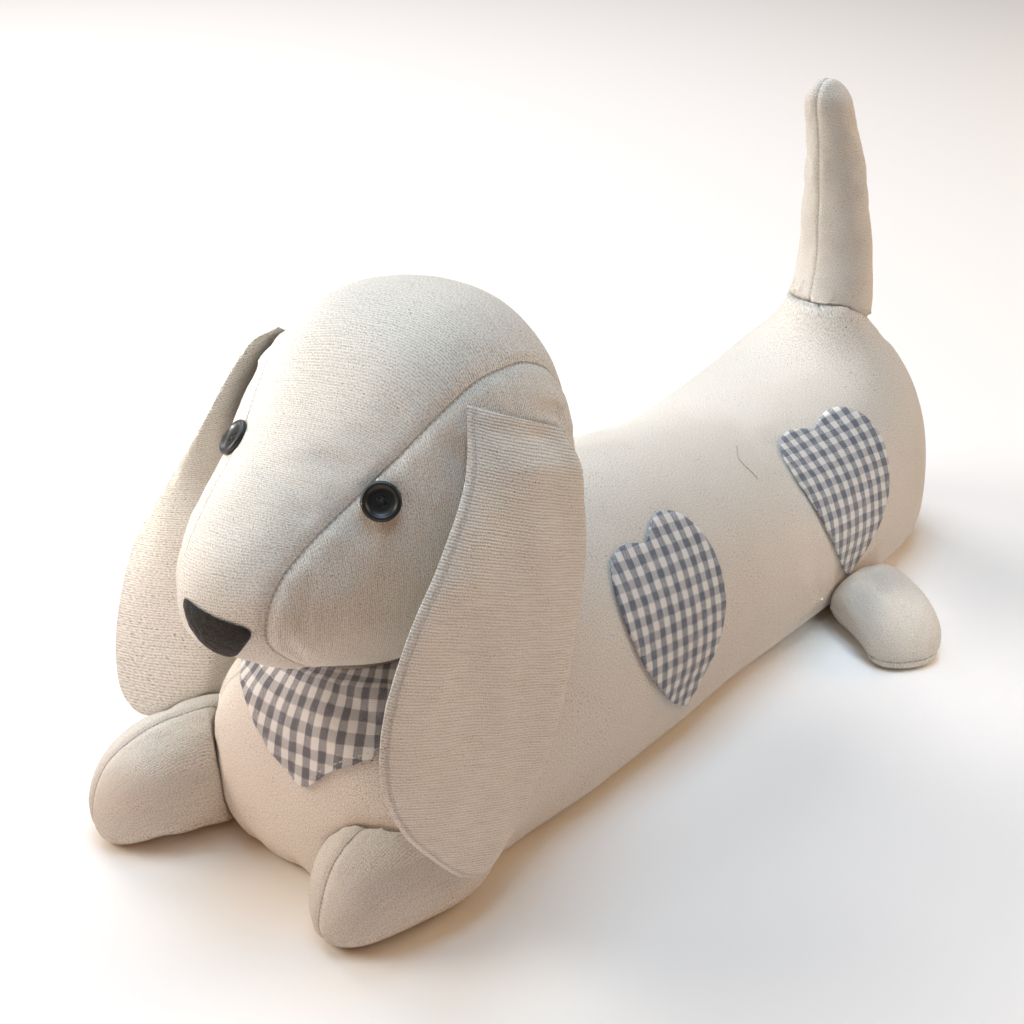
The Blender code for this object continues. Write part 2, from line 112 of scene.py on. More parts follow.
# Long body.
# A tube of ecru cotton and linen canvas stuffed with fibre, closed by a front and a rear panel.
# It is made from the solid's own shape, re-cut in even squares of cloth, blown up against its
# sewn lines and held close to the pattern. The weave is laid on in metres.
BODY_SQUARE = 0.0050
BODY_SWELL = 0.0030
BODY_AXIS = 0.050
BODY_GIRTH = 0.092
BASE_EDGE = 0.004
CHEST_SEAM = -0.2540
RUMP_SEAM = 0.3060
SEAM_REACH = 0.0060
TAIL_FOOT = 0.2625
TAIL_CREST = (
    # places along the back round the tail's foot, and how high the back is there
    (0.234, 0.245, 0.256, 0.267, 0.280, 0.292),
    (0.1765, 0.1755, 0.1690, 0.1630, 0.1560, 0.1500),
)
BACK_HEIGHT = 0.09
COLLAR_BANDS = (0.0222, 0.0255, 0.0290)
COLLAR_INSIDE = 0.0245
COLLAR_OUTSIDE = 0.0274
COLLAR_START = 0.0265
COLLAR_FALL = 0.0085
STUFFING_STEPS = 20
STUFFING = {
    "quality": 4,
    "mass": 0.25,
    "tension_stiffness": 12,
    "compression_stiffness": 12,
    "bending_stiffness": 0.4,
    "shrink_min": -0.02,
    "use_pressure": True,
    "uniform_pressure_force": 4.0,
    "vertex_group_mass": "sewn",
}
CLEARANCE = 0.0004
NEIGHBOURHOOD = 0.012
ECRU_LIGHT = (0.825, 0.790, 0.728, 1.0)
ECRU_DARK = (0.420, 0.374, 0.318, 1.0)
ECRU_PINK = (0.760, 0.692, 0.615, 1.0)
FLECK_BROWN = (0.150, 0.115, 0.085, 1.0)
THREAD_PITCH = 0.0009
RIB_WAVER = 0.0012
SLUBS = (55, 640, 1)
FIBRES = (1350, 1150, 1)
HUSKS = (620, 900, 1)
STITCH_LENGTH = 0.0032


def points(piece):
    """The places of a piece's vertices."""
    co = np.empty(len(piece.data.vertices) * 3)
    piece.data.vertices.foreach_get("co", co)
    return co.reshape(-1, 3)


def facing(piece):
    """The outward directions at a piece's vertices."""
    out = np.empty(len(piece.data.vertices) * 3, np.float32)
    piece.data.vertex_normals.foreach_get("vector", out)
    return out.reshape(-1, 3).astype(float)


def put(piece, co):
    """Moves a piece's vertices."""
    piece.data.vertices.foreach_set("co", np.asarray(co, float).ravel())
    piece.data.update()


def pick(piece):
    """Makes a piece the only selected one."""
    bpy.ops.object.select_all(action="DESELECT")
    piece.select_set(True)
    bpy.context.view_layer.objects.active = piece


def finish_modifier(piece, kind, **settings):
    """Adds a modifier to a piece and applies it."""
    pick(piece)
    bpy.ops.object.modifier_add(type=kind)
    modifier = piece.modifiers[-1]
    for key, value in settings.items():
        setattr(modifier, key, value)
    bpy.ops.object.modifier_apply(modifier=modifier.name)


def clad(piece, cloth):
    """Gives a piece one material."""
    piece.data.materials.clear()
    piece.data.materials.append(cloth)


def solids(*beginnings):
    """The CAD solids whose names begin in one of these ways."""
    return [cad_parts[name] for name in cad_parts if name.startswith(beginnings)]


def skin_of(node, name, square):
    """A closed cloth skin with the solid's shape, cut in even squares."""
    skin = bpy.data.objects.new(name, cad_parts[node].data.copy())
    skin.data.name = name
    skin.data.materials.clear()
    scene.collection.objects.link(skin)
    pick(skin)
    bpy.ops.object.mode_set(mode="EDIT")
    bpy.ops.mesh.select_all(action="SELECT")
    bpy.ops.mesh.remove_doubles(threshold=0.00005)
    bpy.ops.object.mode_set(mode="OBJECT")
    finish_modifier(skin, "REMESH", mode="VOXEL", voxel_size=square, use_smooth_shade=True)
    finish_modifier(skin, "SMOOTH", factor=0.5, iterations=6)
    return skin


def stuffed(skin, sewn, swell):
    """Blows a skin up with its sewn vertices held, and caps how far the cloth may move."""
    before = points(skin)
    group = skin.vertex_groups.new(name="sewn")
    for index in np.nonzero(sewn)[0]:
        group.add([int(index)], 1.0, "REPLACE")
    pick(skin)
    bpy.ops.object.modifier_add(type="CLOTH")
    cloth = skin.modifiers[-1]
    for key, value in STUFFING.items():
        setattr(cloth.settings, key, value)
    cloth.settings.effector_weights.gravity = 0
    for step in range(STUFFING_STEPS):
        scene.frame_set(step + 1)
    bpy.ops.object.modifier_apply(modifier=cloth.name)
    scene.frame_set(1)
    moved = points(skin) - before
    far = np.linalg.norm(moved, axis=1, keepdims=True)
    put(skin, before + moved * np.minimum(1, swell / np.maximum(far, 1e-9)))
    finish_modifier(skin, "SMOOTH", factor=0.5, iterations=2)
    skin.vertex_groups.clear()


def uneven(places):
    """A soft random number from -1 to 1 at each place."""
    return np.array([noise.noise(Vector(place)) for place in places])


def lumpy(skin, size, depth, shift):
    """Presses the soft unevenness of hand stuffing into a skin."""
    co, out = points(skin), facing(skin)
    deep = uneven(Vector(spot) / size + Vector(shift) for spot in co)
    put(skin, co + out * (deep * depth)[:, None])


def surface_of(piece):
    """The finished surface of a piece, for what is laid on it."""
    return BVHTree.FromObject(piece, bpy.context.evaluated_depsgraph_get())


def keep_clear(skin, neighbours):
    """Presses a skin back where it comes too close to a neighbour."""
    co = points(skin)
    for other in neighbours:
        near = surface_of(other)
        for index, spot in enumerate(co):
            place, out, _, _ = near.find_nearest(Vector(spot), NEIGHBOURHOOD)
            if place is None:
                continue
            depth = (Vector(spot) - place).dot(out)
            if depth < CLEARANCE:
                co[index] = Vector(spot) + out * (CLEARANCE - depth)
    put(skin, co)


def above_floor(skin):
    """Flattens a skin where it rests."""
    co = points(skin)
    co[:, 2] = np.maximum(co[:, 2], 0)
    put(skin, co)


def round_off(skin):
    """One finer cut of the cloth."""
    finish_modifier(skin, "SUBSURF", levels=1, render_levels=1)


def weave_on(piece, layouts, panel=None):
    """Lays the weave on a piece in metres: one (across, along) pair for each panel."""
    mesh = piece.data
    corner = np.empty(len(mesh.loops), int)
    mesh.loops.foreach_get("vertex_index", corner)
    flat = [np.stack(pair, 1)[corner] for pair in layouts]
    if panel is None:
        chosen = flat[0]
    else:
        counts = np.empty(len(mesh.polygons), int)
        mesh.polygons.foreach_get("loop_total", counts)
        starts = np.concatenate([[0], np.cumsum(counts)[:-1]])
        share = np.add.reduceat(panel[corner].astype(float), starts) / counts
        on_second = np.repeat(share > 0.5, counts)
        chosen = np.where(on_second[:, None], flat[1], flat[0])
    layer = mesh.uv_layers.new(name="weave")
    layer.data.foreach_set("uv", chosen.astype(np.float32).ravel())


def note(piece, name, values):
    """Keeps one number for each vertex, for the material to read."""
    held = piece.data.attributes.new(name, "FLOAT", "POINT")
    held.data.foreach_set("value", np.asarray(values, np.float32))


def beside(line, co):
    """How far each point is from a sewn line, and how far along the line it lies."""
    line = np.asarray(line, float)
    steps = np.diff(line, axis=0)
    long = np.linalg.norm(steps, axis=1)
    runs = np.concatenate([[0], np.cumsum(long)])
    best = np.full(len(co), 9.0)
    run = np.zeros(len(co))
    for start, step, size, so_far in zip(line[:-1], steps, long, runs[:-1]):
        part = np.clip((co - start) @ step / size**2, 0, 1)
        gap = np.linalg.norm(co - start - part[:, None] * step, axis=1)
        nearer = gap < best
        best[nearer] = gap[nearer]
        run[nearer] = so_far + part[nearer] * size
    return best, run


def drawn_in(piece, gap, run, depth, width, pucker, shift=0.0):
    """Pulls the cloth in along a sewn line, with small puckers beside it."""
    co, out = points(piece), facing(piece)
    valley = -depth * np.exp(-((gap / width) ** 2))
    near = np.nonzero(gap < width * 5)[0]
    wave = np.zeros(len(co))
    wave[near] = uneven((run[k] * 150 + shift, gap[k] * 40, shift) for k in near)
    fold = pucker * wave * np.exp(-gap / (width * 1.8)) * np.minimum(1, gap / (width * 0.5))
    put(piece, co + out * (valley + fold)[:, None])


def round_tail(co, distance, wanted):
    """Moves points towards or away from the tail's middle, to the distance that is wanted."""
    co[:, 0] *= wanted / np.maximum(distance, 1e-6)
    co[:, 1] = TAIL_FOOT + (co[:, 1] - TAIL_FOOT) * wanted / np.maximum(distance, 1e-6)


class Finish:
    """A material while it is put together: its shader, and the nodes that feed it."""

    def __init__(self, name, settings):
        self.material = bpy.data.materials.new(name)
        self.material.use_nodes = True
        self.tree = self.material.node_tree
        self.shader = self.tree.nodes["Principled BSDF"]
        self.feed(self.shader, settings)

    def feed(self, node, inputs):
        """Sets a node's inputs to numbers and colours, or links them to other outputs."""
        for key, value in inputs.items():
            if isinstance(value, bpy.types.NodeSocket):
                self.tree.links.new(value, node.inputs[key])
            else:
                node.inputs[key].default_value = value

    def add(self, kind, inputs, out=0, **settings):
        """Adds a node and gives one of its outputs."""
        node = self.tree.nodes.new("ShaderNode" + kind)
        for key, value in settings.items():
            setattr(node, key, value)
        self.feed(node, inputs)
        return node.outputs[out]

    def maths(self, operation, *values, clamp=False):
        """A sum of outputs and numbers."""
        return self.add("Math", dict(enumerate(values)), operation=operation, use_clamp=clamp)

    def fibre(self, vector, scale, detail=2.0, rough=0.5, kind="2D"):
        """Uneven fibre, on the layout of the cloth or in space."""
        scale = scale if isinstance(scale, tuple) else (scale, scale, scale)
        place = self.add("Mapping", {"Vector": vector, "Scale": scale})
        inputs = {"Vector": place, "Scale": 1.0, "Detail": detail, "Roughness": rough}
        return self.add("TexNoise", inputs, noise_dimensions=kind)

    def wave(self, turns, size):
        """A wave from 0 to 1, once in each turn."""
        cosine = self.maths("COSINE", self.maths("MULTIPLY", turns, 2 * math.pi))
        return self.maths("MULTIPLY_ADD", cosine, size, 0.5)

    def band(self, value, low, high, start=0.0, end=1.0):
        """A soft step between two values."""
        inputs = {"Value": value, "From Min": low, "From Max": high, "To Min": start, "To Max": end}
        return self.add("MapRange", inputs, interpolation_type="SMOOTHSTEP")

    def blend(self, share, first, second):
        """A mix of two colours."""
        return self.add("Mix", {0: share, 6: first, 7: second}, 2, data_type="RGBA")

    def raised(self, height, strength, distance):
        """Raises the surface by a height."""
        inputs = {"Height": height, "Strength": strength, "Distance": distance}
        self.feed(self.shader, {"Normal": self.add("Bump", inputs)})


def canvas(name, pitch, rib_relief_and_shade, grainy, fleck, line):
    """Ecru canvas: ribs of paired weft with painted shade in the hollows between them, finer warp,
    slubs, brown flecks of husk, and the dark line of the sewn seams."""
    finish = {"Roughness": 0.92, "Specular IOR Level": 0.22, "Sheen Weight": 0.12}
    cloth = Finish(name, {**finish, "Sheen Roughness": 0.6})
    laid = cloth.add("UVMap", {}, uv_map="weave")
    space = cloth.add("TexCoord", {}, "Object")
    across = cloth.add("SeparateXYZ", {0: laid}, "X")
    along = cloth.add("SeparateXYZ", {0: laid}, "Y")

    bent = cloth.maths("MULTIPLY_ADD", cloth.fibre(laid, 60), RIB_WAVER, along)
    row = cloth.maths("DIVIDE", bent, pitch)
    ridge = cloth.maths("POWER", cloth.wave(row, -0.5), 0.7)
    column = cloth.maths("DIVIDE", across, THREAD_PITCH * 2)
    knot = cloth.wave(cloth.maths("MULTIPLY_ADD", cloth.maths("FLOOR", row), 0.5, column), 0.5)
    slub = cloth.fibre(laid, SLUBS, 3.0, 0.6)
    thread = cloth.fibre(laid, FIBRES, 1.0, 0.6)
    height = cloth.maths("MULTIPLY", ridge, cloth.maths("MULTIPLY_ADD", knot, 0.25, 0.75))
    height = cloth.maths("ADD", height, cloth.maths("MULTIPLY_ADD", slub, 0.9, -0.45))

    # Painted shade: the colour is darker where the weave lies low, in the hollows between the ribs
    # and threads. The threads' own uneven tone is mixed in as well.
    weave_tone_and_hollow_shade = cloth.maths("MULTIPLY_ADD", cloth.maths("SUBTRACT", height, 0.55), rib_relief_and_shade, 0.72)
    hairy = cloth.maths("SUBTRACT", thread, 0.5)
    weave_tone_and_hollow_shade = cloth.maths("MULTIPLY_ADD", hairy, grainy, weave_tone_and_hollow_shade, clamp=True)
    broad = cloth.band(cloth.fibre(space, 26, 3.0, 0.55, "3D"), 0.35, 0.68)
    light = cloth.blend(cloth.maths("MULTIPLY", broad, 0.22), ECRU_LIGHT, ECRU_PINK)
    colour = cloth.blend(weave_tone_and_hollow_shade, ECRU_DARK, light)
    husk = cloth.band(cloth.fibre(laid, HUSKS, 1.0), fleck, fleck + 0.06)
    crowd = cloth.band(cloth.fibre(laid, 45, 1.0), 0.46, 0.66, 0.04, 0.75)
    colour = cloth.blend(cloth.maths("MULTIPLY", husk, crowd), colour, FLECK_BROWN)

    gap = cloth.add("Attribute", {}, "Fac", attribute_name="seam")
    run = cloth.add("Attribute", {}, "Fac", attribute_name="seam_run")
    groove = cloth.band(cloth.maths("ABSOLUTE", gap), 0.0002, 0.0011, 1.0, 0.0)
    beat = cloth.maths("FRACT", cloth.maths("DIVIDE", run, STITCH_LENGTH))
    beat = cloth.maths("ABSOLUTE", cloth.maths("SUBTRACT", beat, 0.5))
    pull = cloth.maths("MULTIPLY", cloth.band(beat, 0.12, 0.30, 0.55, 1.0), line)
    colour = cloth.blend(cloth.maths("MULTIPLY", groove, pull), colour, FLECK_BROWN)
    height = cloth.maths("SUBTRACT", height, cloth.maths("MULTIPLY", groove, 2.2))

    cloth.feed(cloth.shader, {"Base Color": colour})
    height = cloth.maths("MULTIPLY", height, 0.5 + rib_relief_and_shade)
    cloth.raised(cloth.maths("MULTIPLY_ADD", thread, 0.7, height), 0.70, 0.00035)
    return cloth.material


body_cloth = canvas("canvas_body", pitch=0.0013, rib_relief_and_shade=0.12, grainy=1.9, fleck=0.712, line=0.36)
body = skin_of("body", "body_cover", BODY_SQUARE)
co = points(body)
on_seam = np.abs(co[:, 1] - CHEST_SEAM) < SEAM_REACH
on_seam |= np.abs(co[:, 1] - RUMP_SEAM) < SEAM_REACH
lumpy(body, size=0.075, depth=0.0022, shift=(3.1, 0.4, 5.2))
stuffed(body, on_seam & (co[:, 2] > BASE_EDGE), BODY_SWELL)
keep_clear(body, solids("head", "tail", "paw", "ear"))
above_floor(body)
round_off(body)
co = points(body)
from_tail = np.hypot(co[:, 0], co[:, 1] - TAIL_FOOT)
crest = np.interp(co[:, 1], *TAIL_CREST)
on_back = co[:, 2] > BACK_HEIGHT
inner, edge, outer = COLLAR_BANDS
pulled = np.where((from_tail > inner) & (from_tail < edge) & on_back, COLLAR_INSIDE, from_tail)
pulled = np.where((from_tail >= edge) & (from_tail < outer) & on_back, COLLAR_OUTSIDE, pulled)
round_tail(co, from_tail, pulled)
rise = np.exp(-np.maximum(pulled - COLLAR_OUTSIDE, 0) / COLLAR_FALL) * (pulled > COLLAR_START)
co[:, 2] += np.where(on_back, np.maximum(crest - co[:, 2], 0) * rise, 0)
put(body, co)
turn = np.arctan2(co[:, 2] - BODY_AXIS, co[:, 0])
front_gap = co[:, 1] - CHEST_SEAM
rear_gap = RUMP_SEAM - co[:, 1]
seam_gap = np.where(np.abs(front_gap) < np.abs(rear_gap), front_gap, rear_gap)
seam_run = turn * BODY_GIRTH
drawn_in(body, np.abs(seam_gap), seam_run, depth=0.0012, width=0.0045, pucker=0.0006)
above_floor(body)
on_panel = (front_gap < 0) | (rear_gap < 0)
weave_on(body, [(seam_run, co[:, 1]), (co[:, 0], co[:, 2])], on_panel)
note(body, "seam", seam_gap)
note(body, "seam_run", seam_run)
clad(body, body_cloth)
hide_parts("body")
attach(body, "root")


# Head.
# A stuffed head of the same canvas: two side panels and a long gusset that runs from under the
# chin over the brow to the nape. The gusset's two seams are the lines beside the eyes.
HEAD_SQUARE = 0.0034
HEAD_SWELL = 0.0025
PROFILE_MIDDLE = (-0.2043, 0.190)
PROFILE_REACH = 0.092
MUZZLE_FULL = np.array([-0.013, -0.309, 0.177])
MUZZLE_RISE = 0.0055
MUZZLE_SPREAD = 0.016
GUSSET_HELD = 0.0028
GUSSET = [
    # angle over the profile in degrees from the nape, half width of the gusset
    (-75, 0.040),
    (-30, 0.050),
    (0, 0.054),
    (25, 0.058),
    (41, 0.0615),
    (54, 0.0630),
    (70, 0.0630),
    (89, 0.0595),
    (97, 0.0565),
    (120, 0.0470),
    (140, 0.0400),
    (155, 0.0355),
    (165, 0.0325),
    (173, 0.0310),
    (189, 0.0280),
    (205, 0.0240),
    (225, 0.0160),
    (250, 0.0060),
]


def gusset_half(turn):
    """Half the gusset's width at an angle over the profile."""
    degrees, halves = zip(*GUSSET)
    return np.interp(np.degrees(turn), degrees, halves)


def over_profile(co):
    """The angle of each point over the head's profile, from the nape to the chin."""
    turn = np.arctan2(co[:, 2] - PROFILE_MIDDLE[1], co[:, 1] - PROFILE_MIDDLE[0])
    return np.where(turn < math.radians(-100), turn + 2 * math.pi, turn)


head_cloth = canvas("canvas_head", pitch=0.0012, rib_relief_and_shade=0.50, grainy=2.1, fleck=0.715, line=0.50)
head = skin_of("head", "head_cover", HEAD_SQUARE)
co = points(head)
off_gusset = np.abs(np.abs(co[:, 0]) - gusset_half(over_profile(co)))
lumpy(head, size=0.055, depth=0.0016, shift=(1.1, 7.4, 2.2))
co, out = points(head), facing(head)
full = np.exp(-np.sum((co - MUZZLE_FULL) ** 2, axis=1) / (2 * MUZZLE_SPREAD**2))
put(head, co + out * (MUZZLE_RISE * full)[:, None])
stuffed(head, off_gusset < GUSSET_HELD, HEAD_SWELL)
keep_clear(head, [body] + solids("ear"))
round_off(head)
co = points(head)
turn = over_profile(co)
half = gusset_half(turn)
surface = surface_of(head)
seam_gap = np.full(len(co), 9.0)
seam_run = np.zeros(len(co))
for side in (-1, 1):
    line = []
    for degrees in range(-72, 249, 3):
        angle = math.radians(degrees)
        start = Vector((side * float(gusset_half(angle)), *PROFILE_MIDDLE))
        hit = surface.ray_cast(start, Vector((0, math.cos(angle), math.sin(angle))))[0]
        if hit is not None:
            line.append(hit)
    gap, run = beside(line, co)
    nearer = gap < seam_gap
    seam_gap[nearer], seam_run[nearer] = gap[nearer], run[nearer]
drawn_in(head, seam_gap, seam_run, depth=0.0012, width=0.0030, pucker=0.0007, shift=4.0)
on_gusset = np.abs(co[:, 0]) < half
over_side = (co[:, 2], co[:, 1] + 0.5 * np.abs(co[:, 0]))
over_top = (co[:, 0] * 1.05, turn * PROFILE_REACH + 0.12 * co[:, 0])
weave_on(head, [over_side, over_top], on_gusset)
note(head, "seam", np.where(on_gusset, seam_gap, -seam_gap))
note(head, "seam_run", seam_run)
clad(head, head_cloth)
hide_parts("head")
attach(head, "root")


# Ears.
# Each ear is two layers of the canvas sewn round the edge and turned, with a thin filling, so
# that a line of the seam shows just inside the rim. The ribs run across the ear. The far ear's
# front edge is turned outwards.
EAR_COLUMNS = 64
EAR_ROWS = 132
EAR_RIM = 0.0016
EAR_PLUMP = 0.0040
EAR_PLUMP_REACH = 0.010
EAR_EDGE = 0.0016
EAR_EDGE_REACH = 0.0012
EAR_SEAM = 0.0026
EAR_TURNED = 0.45
EAR_EDGE_STEPS = 160
EAR_TIP_STEPS = 12
EAR_ROLL = 0.0042
EAR_CRINKLE = 0.0009
EAR_PUCKER = 0.0006
EAR_CLEARANCE = 0.0008
EAR_PUSH = 0.020
EAR_EASING = 14
EAR_GRAIN = {"ear_left": 25.0, "ear_right": 3.0}
TUCKED_EAR = "ear_left"
TUCK = [(0.088, -0.168, 0.262), (0.094, -0.160, 0.245), (0.099, -0.156, 0.228)]
TUCK_DEPTH = 0.0032
TUCK_WIDTH = 0.0035
PROUD = 0.0050
PROUD_PLACE = -0.148
PROUD_WIDTH = 0.012
PROUD_FROM = 0.215
PROUD_OVER = 0.03
EARS = {
    # a row across the ear: its front point, its back point, how far its middle bows out and how
    # far its front edge is turned outwards
    "ear_left": [
        (0.064, -0.19825, 0.277, 0.080, -0.14825, 0.252, 0.006, 0.000),
        (0.080, -0.21825, 0.249, 0.091, -0.14325, 0.228, 0.005, 0.000),
        (0.090, -0.24925, 0.222, 0.097, -0.14425, 0.192, 0.003, 0.000),
        (0.096, -0.27925, 0.197, 0.100, -0.15225, 0.158, 0.001, 0.000),
        (0.099, -0.30125, 0.163, 0.102, -0.16425, 0.118, 0.000, 0.000),
        (0.100, -0.30525, 0.128, 0.102, -0.17925, 0.082, 0.000, 0.000),
        (0.100, -0.29225, 0.093, 0.101, -0.19825, 0.054, 0.000, 0.000),
        (0.100, -0.26725, 0.059, 0.100, -0.22125, 0.034, 0.000, 0.000),
        (0.100, -0.25125, 0.041, 0.100, -0.23625, 0.031, 0.000, 0.000),
    ],
    "ear_right": [
        (-0.068, -0.19325, 0.281, -0.080, -0.14625, 0.250, -0.006, 0.000),
        (-0.080, -0.20725, 0.269, -0.091, -0.14325, 0.228, -0.005, 0.000),
        (-0.092, -0.23525, 0.226, -0.096, -0.14625, 0.192, -0.003, 0.002),
        (-0.122, -0.23425, 0.184, -0.100, -0.15125, 0.162, 0.000, 0.020),
        (-0.143, -0.24225, 0.146, -0.102, -0.16025, 0.132, 0.000, 0.040),
        (-0.150, -0.25425, 0.098, -0.102, -0.17425, 0.104, 0.000, 0.046),
        (-0.140, -0.26525, 0.068, -0.100, -0.20025, 0.078, 0.000, 0.038),
        (-0.126, -0.26725, 0.056, -0.096, -0.22025, 0.060, 0.000, 0.026),
        (-0.114, -0.26125, 0.052, -0.095, -0.23225, 0.053, 0.000, 0.014),
    ],
}


def along_rows(table, where):
    """The rows of a table on the smooth curve through them, at places from 0 to 1 down it."""
    rows = np.array(table, float)
    before = np.vstack([2 * rows[0] - rows[1], rows, 2 * rows[-1] - rows[-2]])
    place = np.clip(where, 0, 1) * (len(rows) - 1)
    low = np.minimum(place.astype(int), len(rows) - 2)
    t = (place - low)[:, None]
    a, b, c, d = before[low], before[low + 1], before[low + 2], before[low + 3]
    curve = 2 * b + (c - a) * t + (2 * a - 5 * b + 4 * c - d) * t**2
    return 0.5 * (curve + (3 * b - a - 3 * c + d) * t**3)


def crowded(share):
    """Closer lines towards both edges."""
    return 0.5 * share + 0.25 * (1 - np.cos(math.pi * share))


def just_made(name):
    """Names the piece that was just made."""
    made = bpy.context.object
    made.name = made.data.name = name
    return made


def turned_out(piece, merged=None):
    """Merges a piece's doubles where there are any, and turns its faces outwards."""
    pick(piece)
    bpy.ops.object.mode_set(mode="EDIT")
    bpy.ops.mesh.select_all(action="SELECT")
    if merged:
        bpy.ops.mesh.remove_doubles(threshold=merged)
    bpy.ops.mesh.normals_make_consistent(inside=False)
    bpy.ops.object.mode_set(mode="OBJECT")


ear_cloth = canvas("canvas_ear", pitch=0.0015, rib_relief_and_shade=0.60, grainy=1.6, fleck=0.715, line=0.18)
ears = []
for node_name, table in EARS.items():
    outward = 1 if node_name == "ear_left" else -1
    bpy.ops.object.select_all(action="DESELECT")
    bpy.ops.mesh.primitive_grid_add(x_subdivisions=EAR_COLUMNS, y_subdivisions=EAR_ROWS, size=2)
    ear = just_made(node_name + "_cover")
    bpy.ops.object.mode_set(mode="EDIT")
    bpy.ops.mesh.select_all(action="SELECT")
    bpy.ops.mesh.extrude_region_move(TRANSFORM_OT_translate={"value": (0, 0, 1)})
    bpy.ops.object.mode_set(mode="OBJECT")
    flat = points(ear)
    share, down = crowded((flat[:, 0] + 1) / 2), crowded((1 - flat[:, 1]) / 2)
    shown = flat[:, 2] > 0.5
    side = np.where(shown, 1.0, -1.0)
    row = along_rows(table, down)
    front, back = row[:, 0:3].copy(), row[:, 3:6]
    front[:, 0] -= outward * row[:, 7]
    middle = front * (1 - share[:, None]) + back * share[:, None]
    flare = row[:, 7] * np.maximum(0, 1 - share / EAR_TURNED) ** 1.5
    middle[:, 0] += 4 * share * (1 - share) * row[:, 6] + outward * flare
    edge_rows = along_rows(table, crowded(np.linspace(0, 1, EAR_EDGE_STEPS)))
    last = edge_rows[-1]
    tip = [last[0:3] * (1 - t) + last[3:6] * t for t in np.linspace(0, 1, EAR_TIP_STEPS)]
    round_rim = np.vstack([edge_rows[:, 0:3], tip, edge_rows[::-1, 3:6]])
    from_rim, rim_run = beside(round_rim, middle)
    half = EAR_RIM + EAR_PLUMP * (1 - np.exp(-from_rim / EAR_PLUMP_REACH))
    half -= EAR_EDGE * np.exp(-from_rim / EAR_EDGE_REACH)
    half *= np.where(from_rim < 0.0003, 0.45, 1.0) * np.clip(down / 0.10, 0.35, 1.0)
    puckers = uneven((run * 120, outward, 0) for run in rim_run)
    wide = uneven((y * 26 + 9 * outward, z * 13, 4.0) for _, y, z in middle)
    tight = uneven((y * 60, z * 45, 7.0 * outward) for _, y, z in middle)
    inside = 1 - np.exp(-from_rim / 0.012)
    roll = EAR_ROLL * wide * inside + EAR_CRINKLE * tight * inside
    pucker = EAR_PUCKER * puckers * np.exp(-from_rim / 0.006)
    pucker *= 1 - np.exp(-from_rim / 0.0015)
    co = middle.copy()
    co[:, 0] += outward * side * half
    co[:, 0] += outward * (roll + side * pucker)
    if node_name == TUCKED_EAR:
        tuck = beside(TUCK, middle)[0]
        co[:, 0] += np.where(shown, -TUCK_DEPTH * np.exp(-((tuck / TUCK_WIDTH) ** 2)), 0)
        proud = np.exp(-(((middle[:, 1] - PROUD_PLACE) / PROUD_WIDTH) ** 2))
        co[:, 0] += PROUD * (proud * np.clip((middle[:, 2] - PROUD_FROM) / PROUD_OVER, 0, 1))
    same = np.lexsort((flat[:, 2], flat[:, 1], flat[:, 0]))
    layers = same[0::2], same[1::2]
    need = np.zeros(len(layers[0]))
    for other in [head, body] + solids("paw_front"):
        near = surface_of(other)
        for k, index in enumerate(layers[0]):
            start = Vector((outward * 0.3, co[index, 1], co[index, 2]))
            place = near.ray_cast(start, Vector((-outward, 0, 0)))[0]
            if place is not None:
                need[k] = max(need[k], EAR_CLEARANCE - (co[index, 0] - place.x) * outward)
    need = np.minimum(need, EAR_PUSH).reshape(EAR_COLUMNS + 1, EAR_ROWS + 1)
    for _ in range(EAR_EASING):
        wider = np.pad(need, 1, mode="edge")
        wider = wider[:-2, 1:-1] + wider[2:, 1:-1] + wider[1:-1, :-2] + wider[1:-1, 2:]
        need = np.maximum(need, wider / 4)
    for layer in layers:
        co[layer, 0] += outward * need.ravel()
    put(ear, co)
    turned_out(ear)
    lean = math.radians(EAR_GRAIN[node_name])
    across = co[:, 1] * math.cos(lean) - co[:, 2] * math.sin(lean)
    along = co[:, 2] * math.cos(lean) + co[:, 1] * math.sin(lean)
    weave_on(ear, [(across, along)])
    note(ear, "seam", np.where(shown, from_rim - EAR_SEAM, 0.05))
    note(ear, "seam_run", rim_run)
    ear.data.shade_smooth()
    clad(ear, ear_cloth)
    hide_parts(node_name)
    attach(ear, "root")
    ears.append(ear)


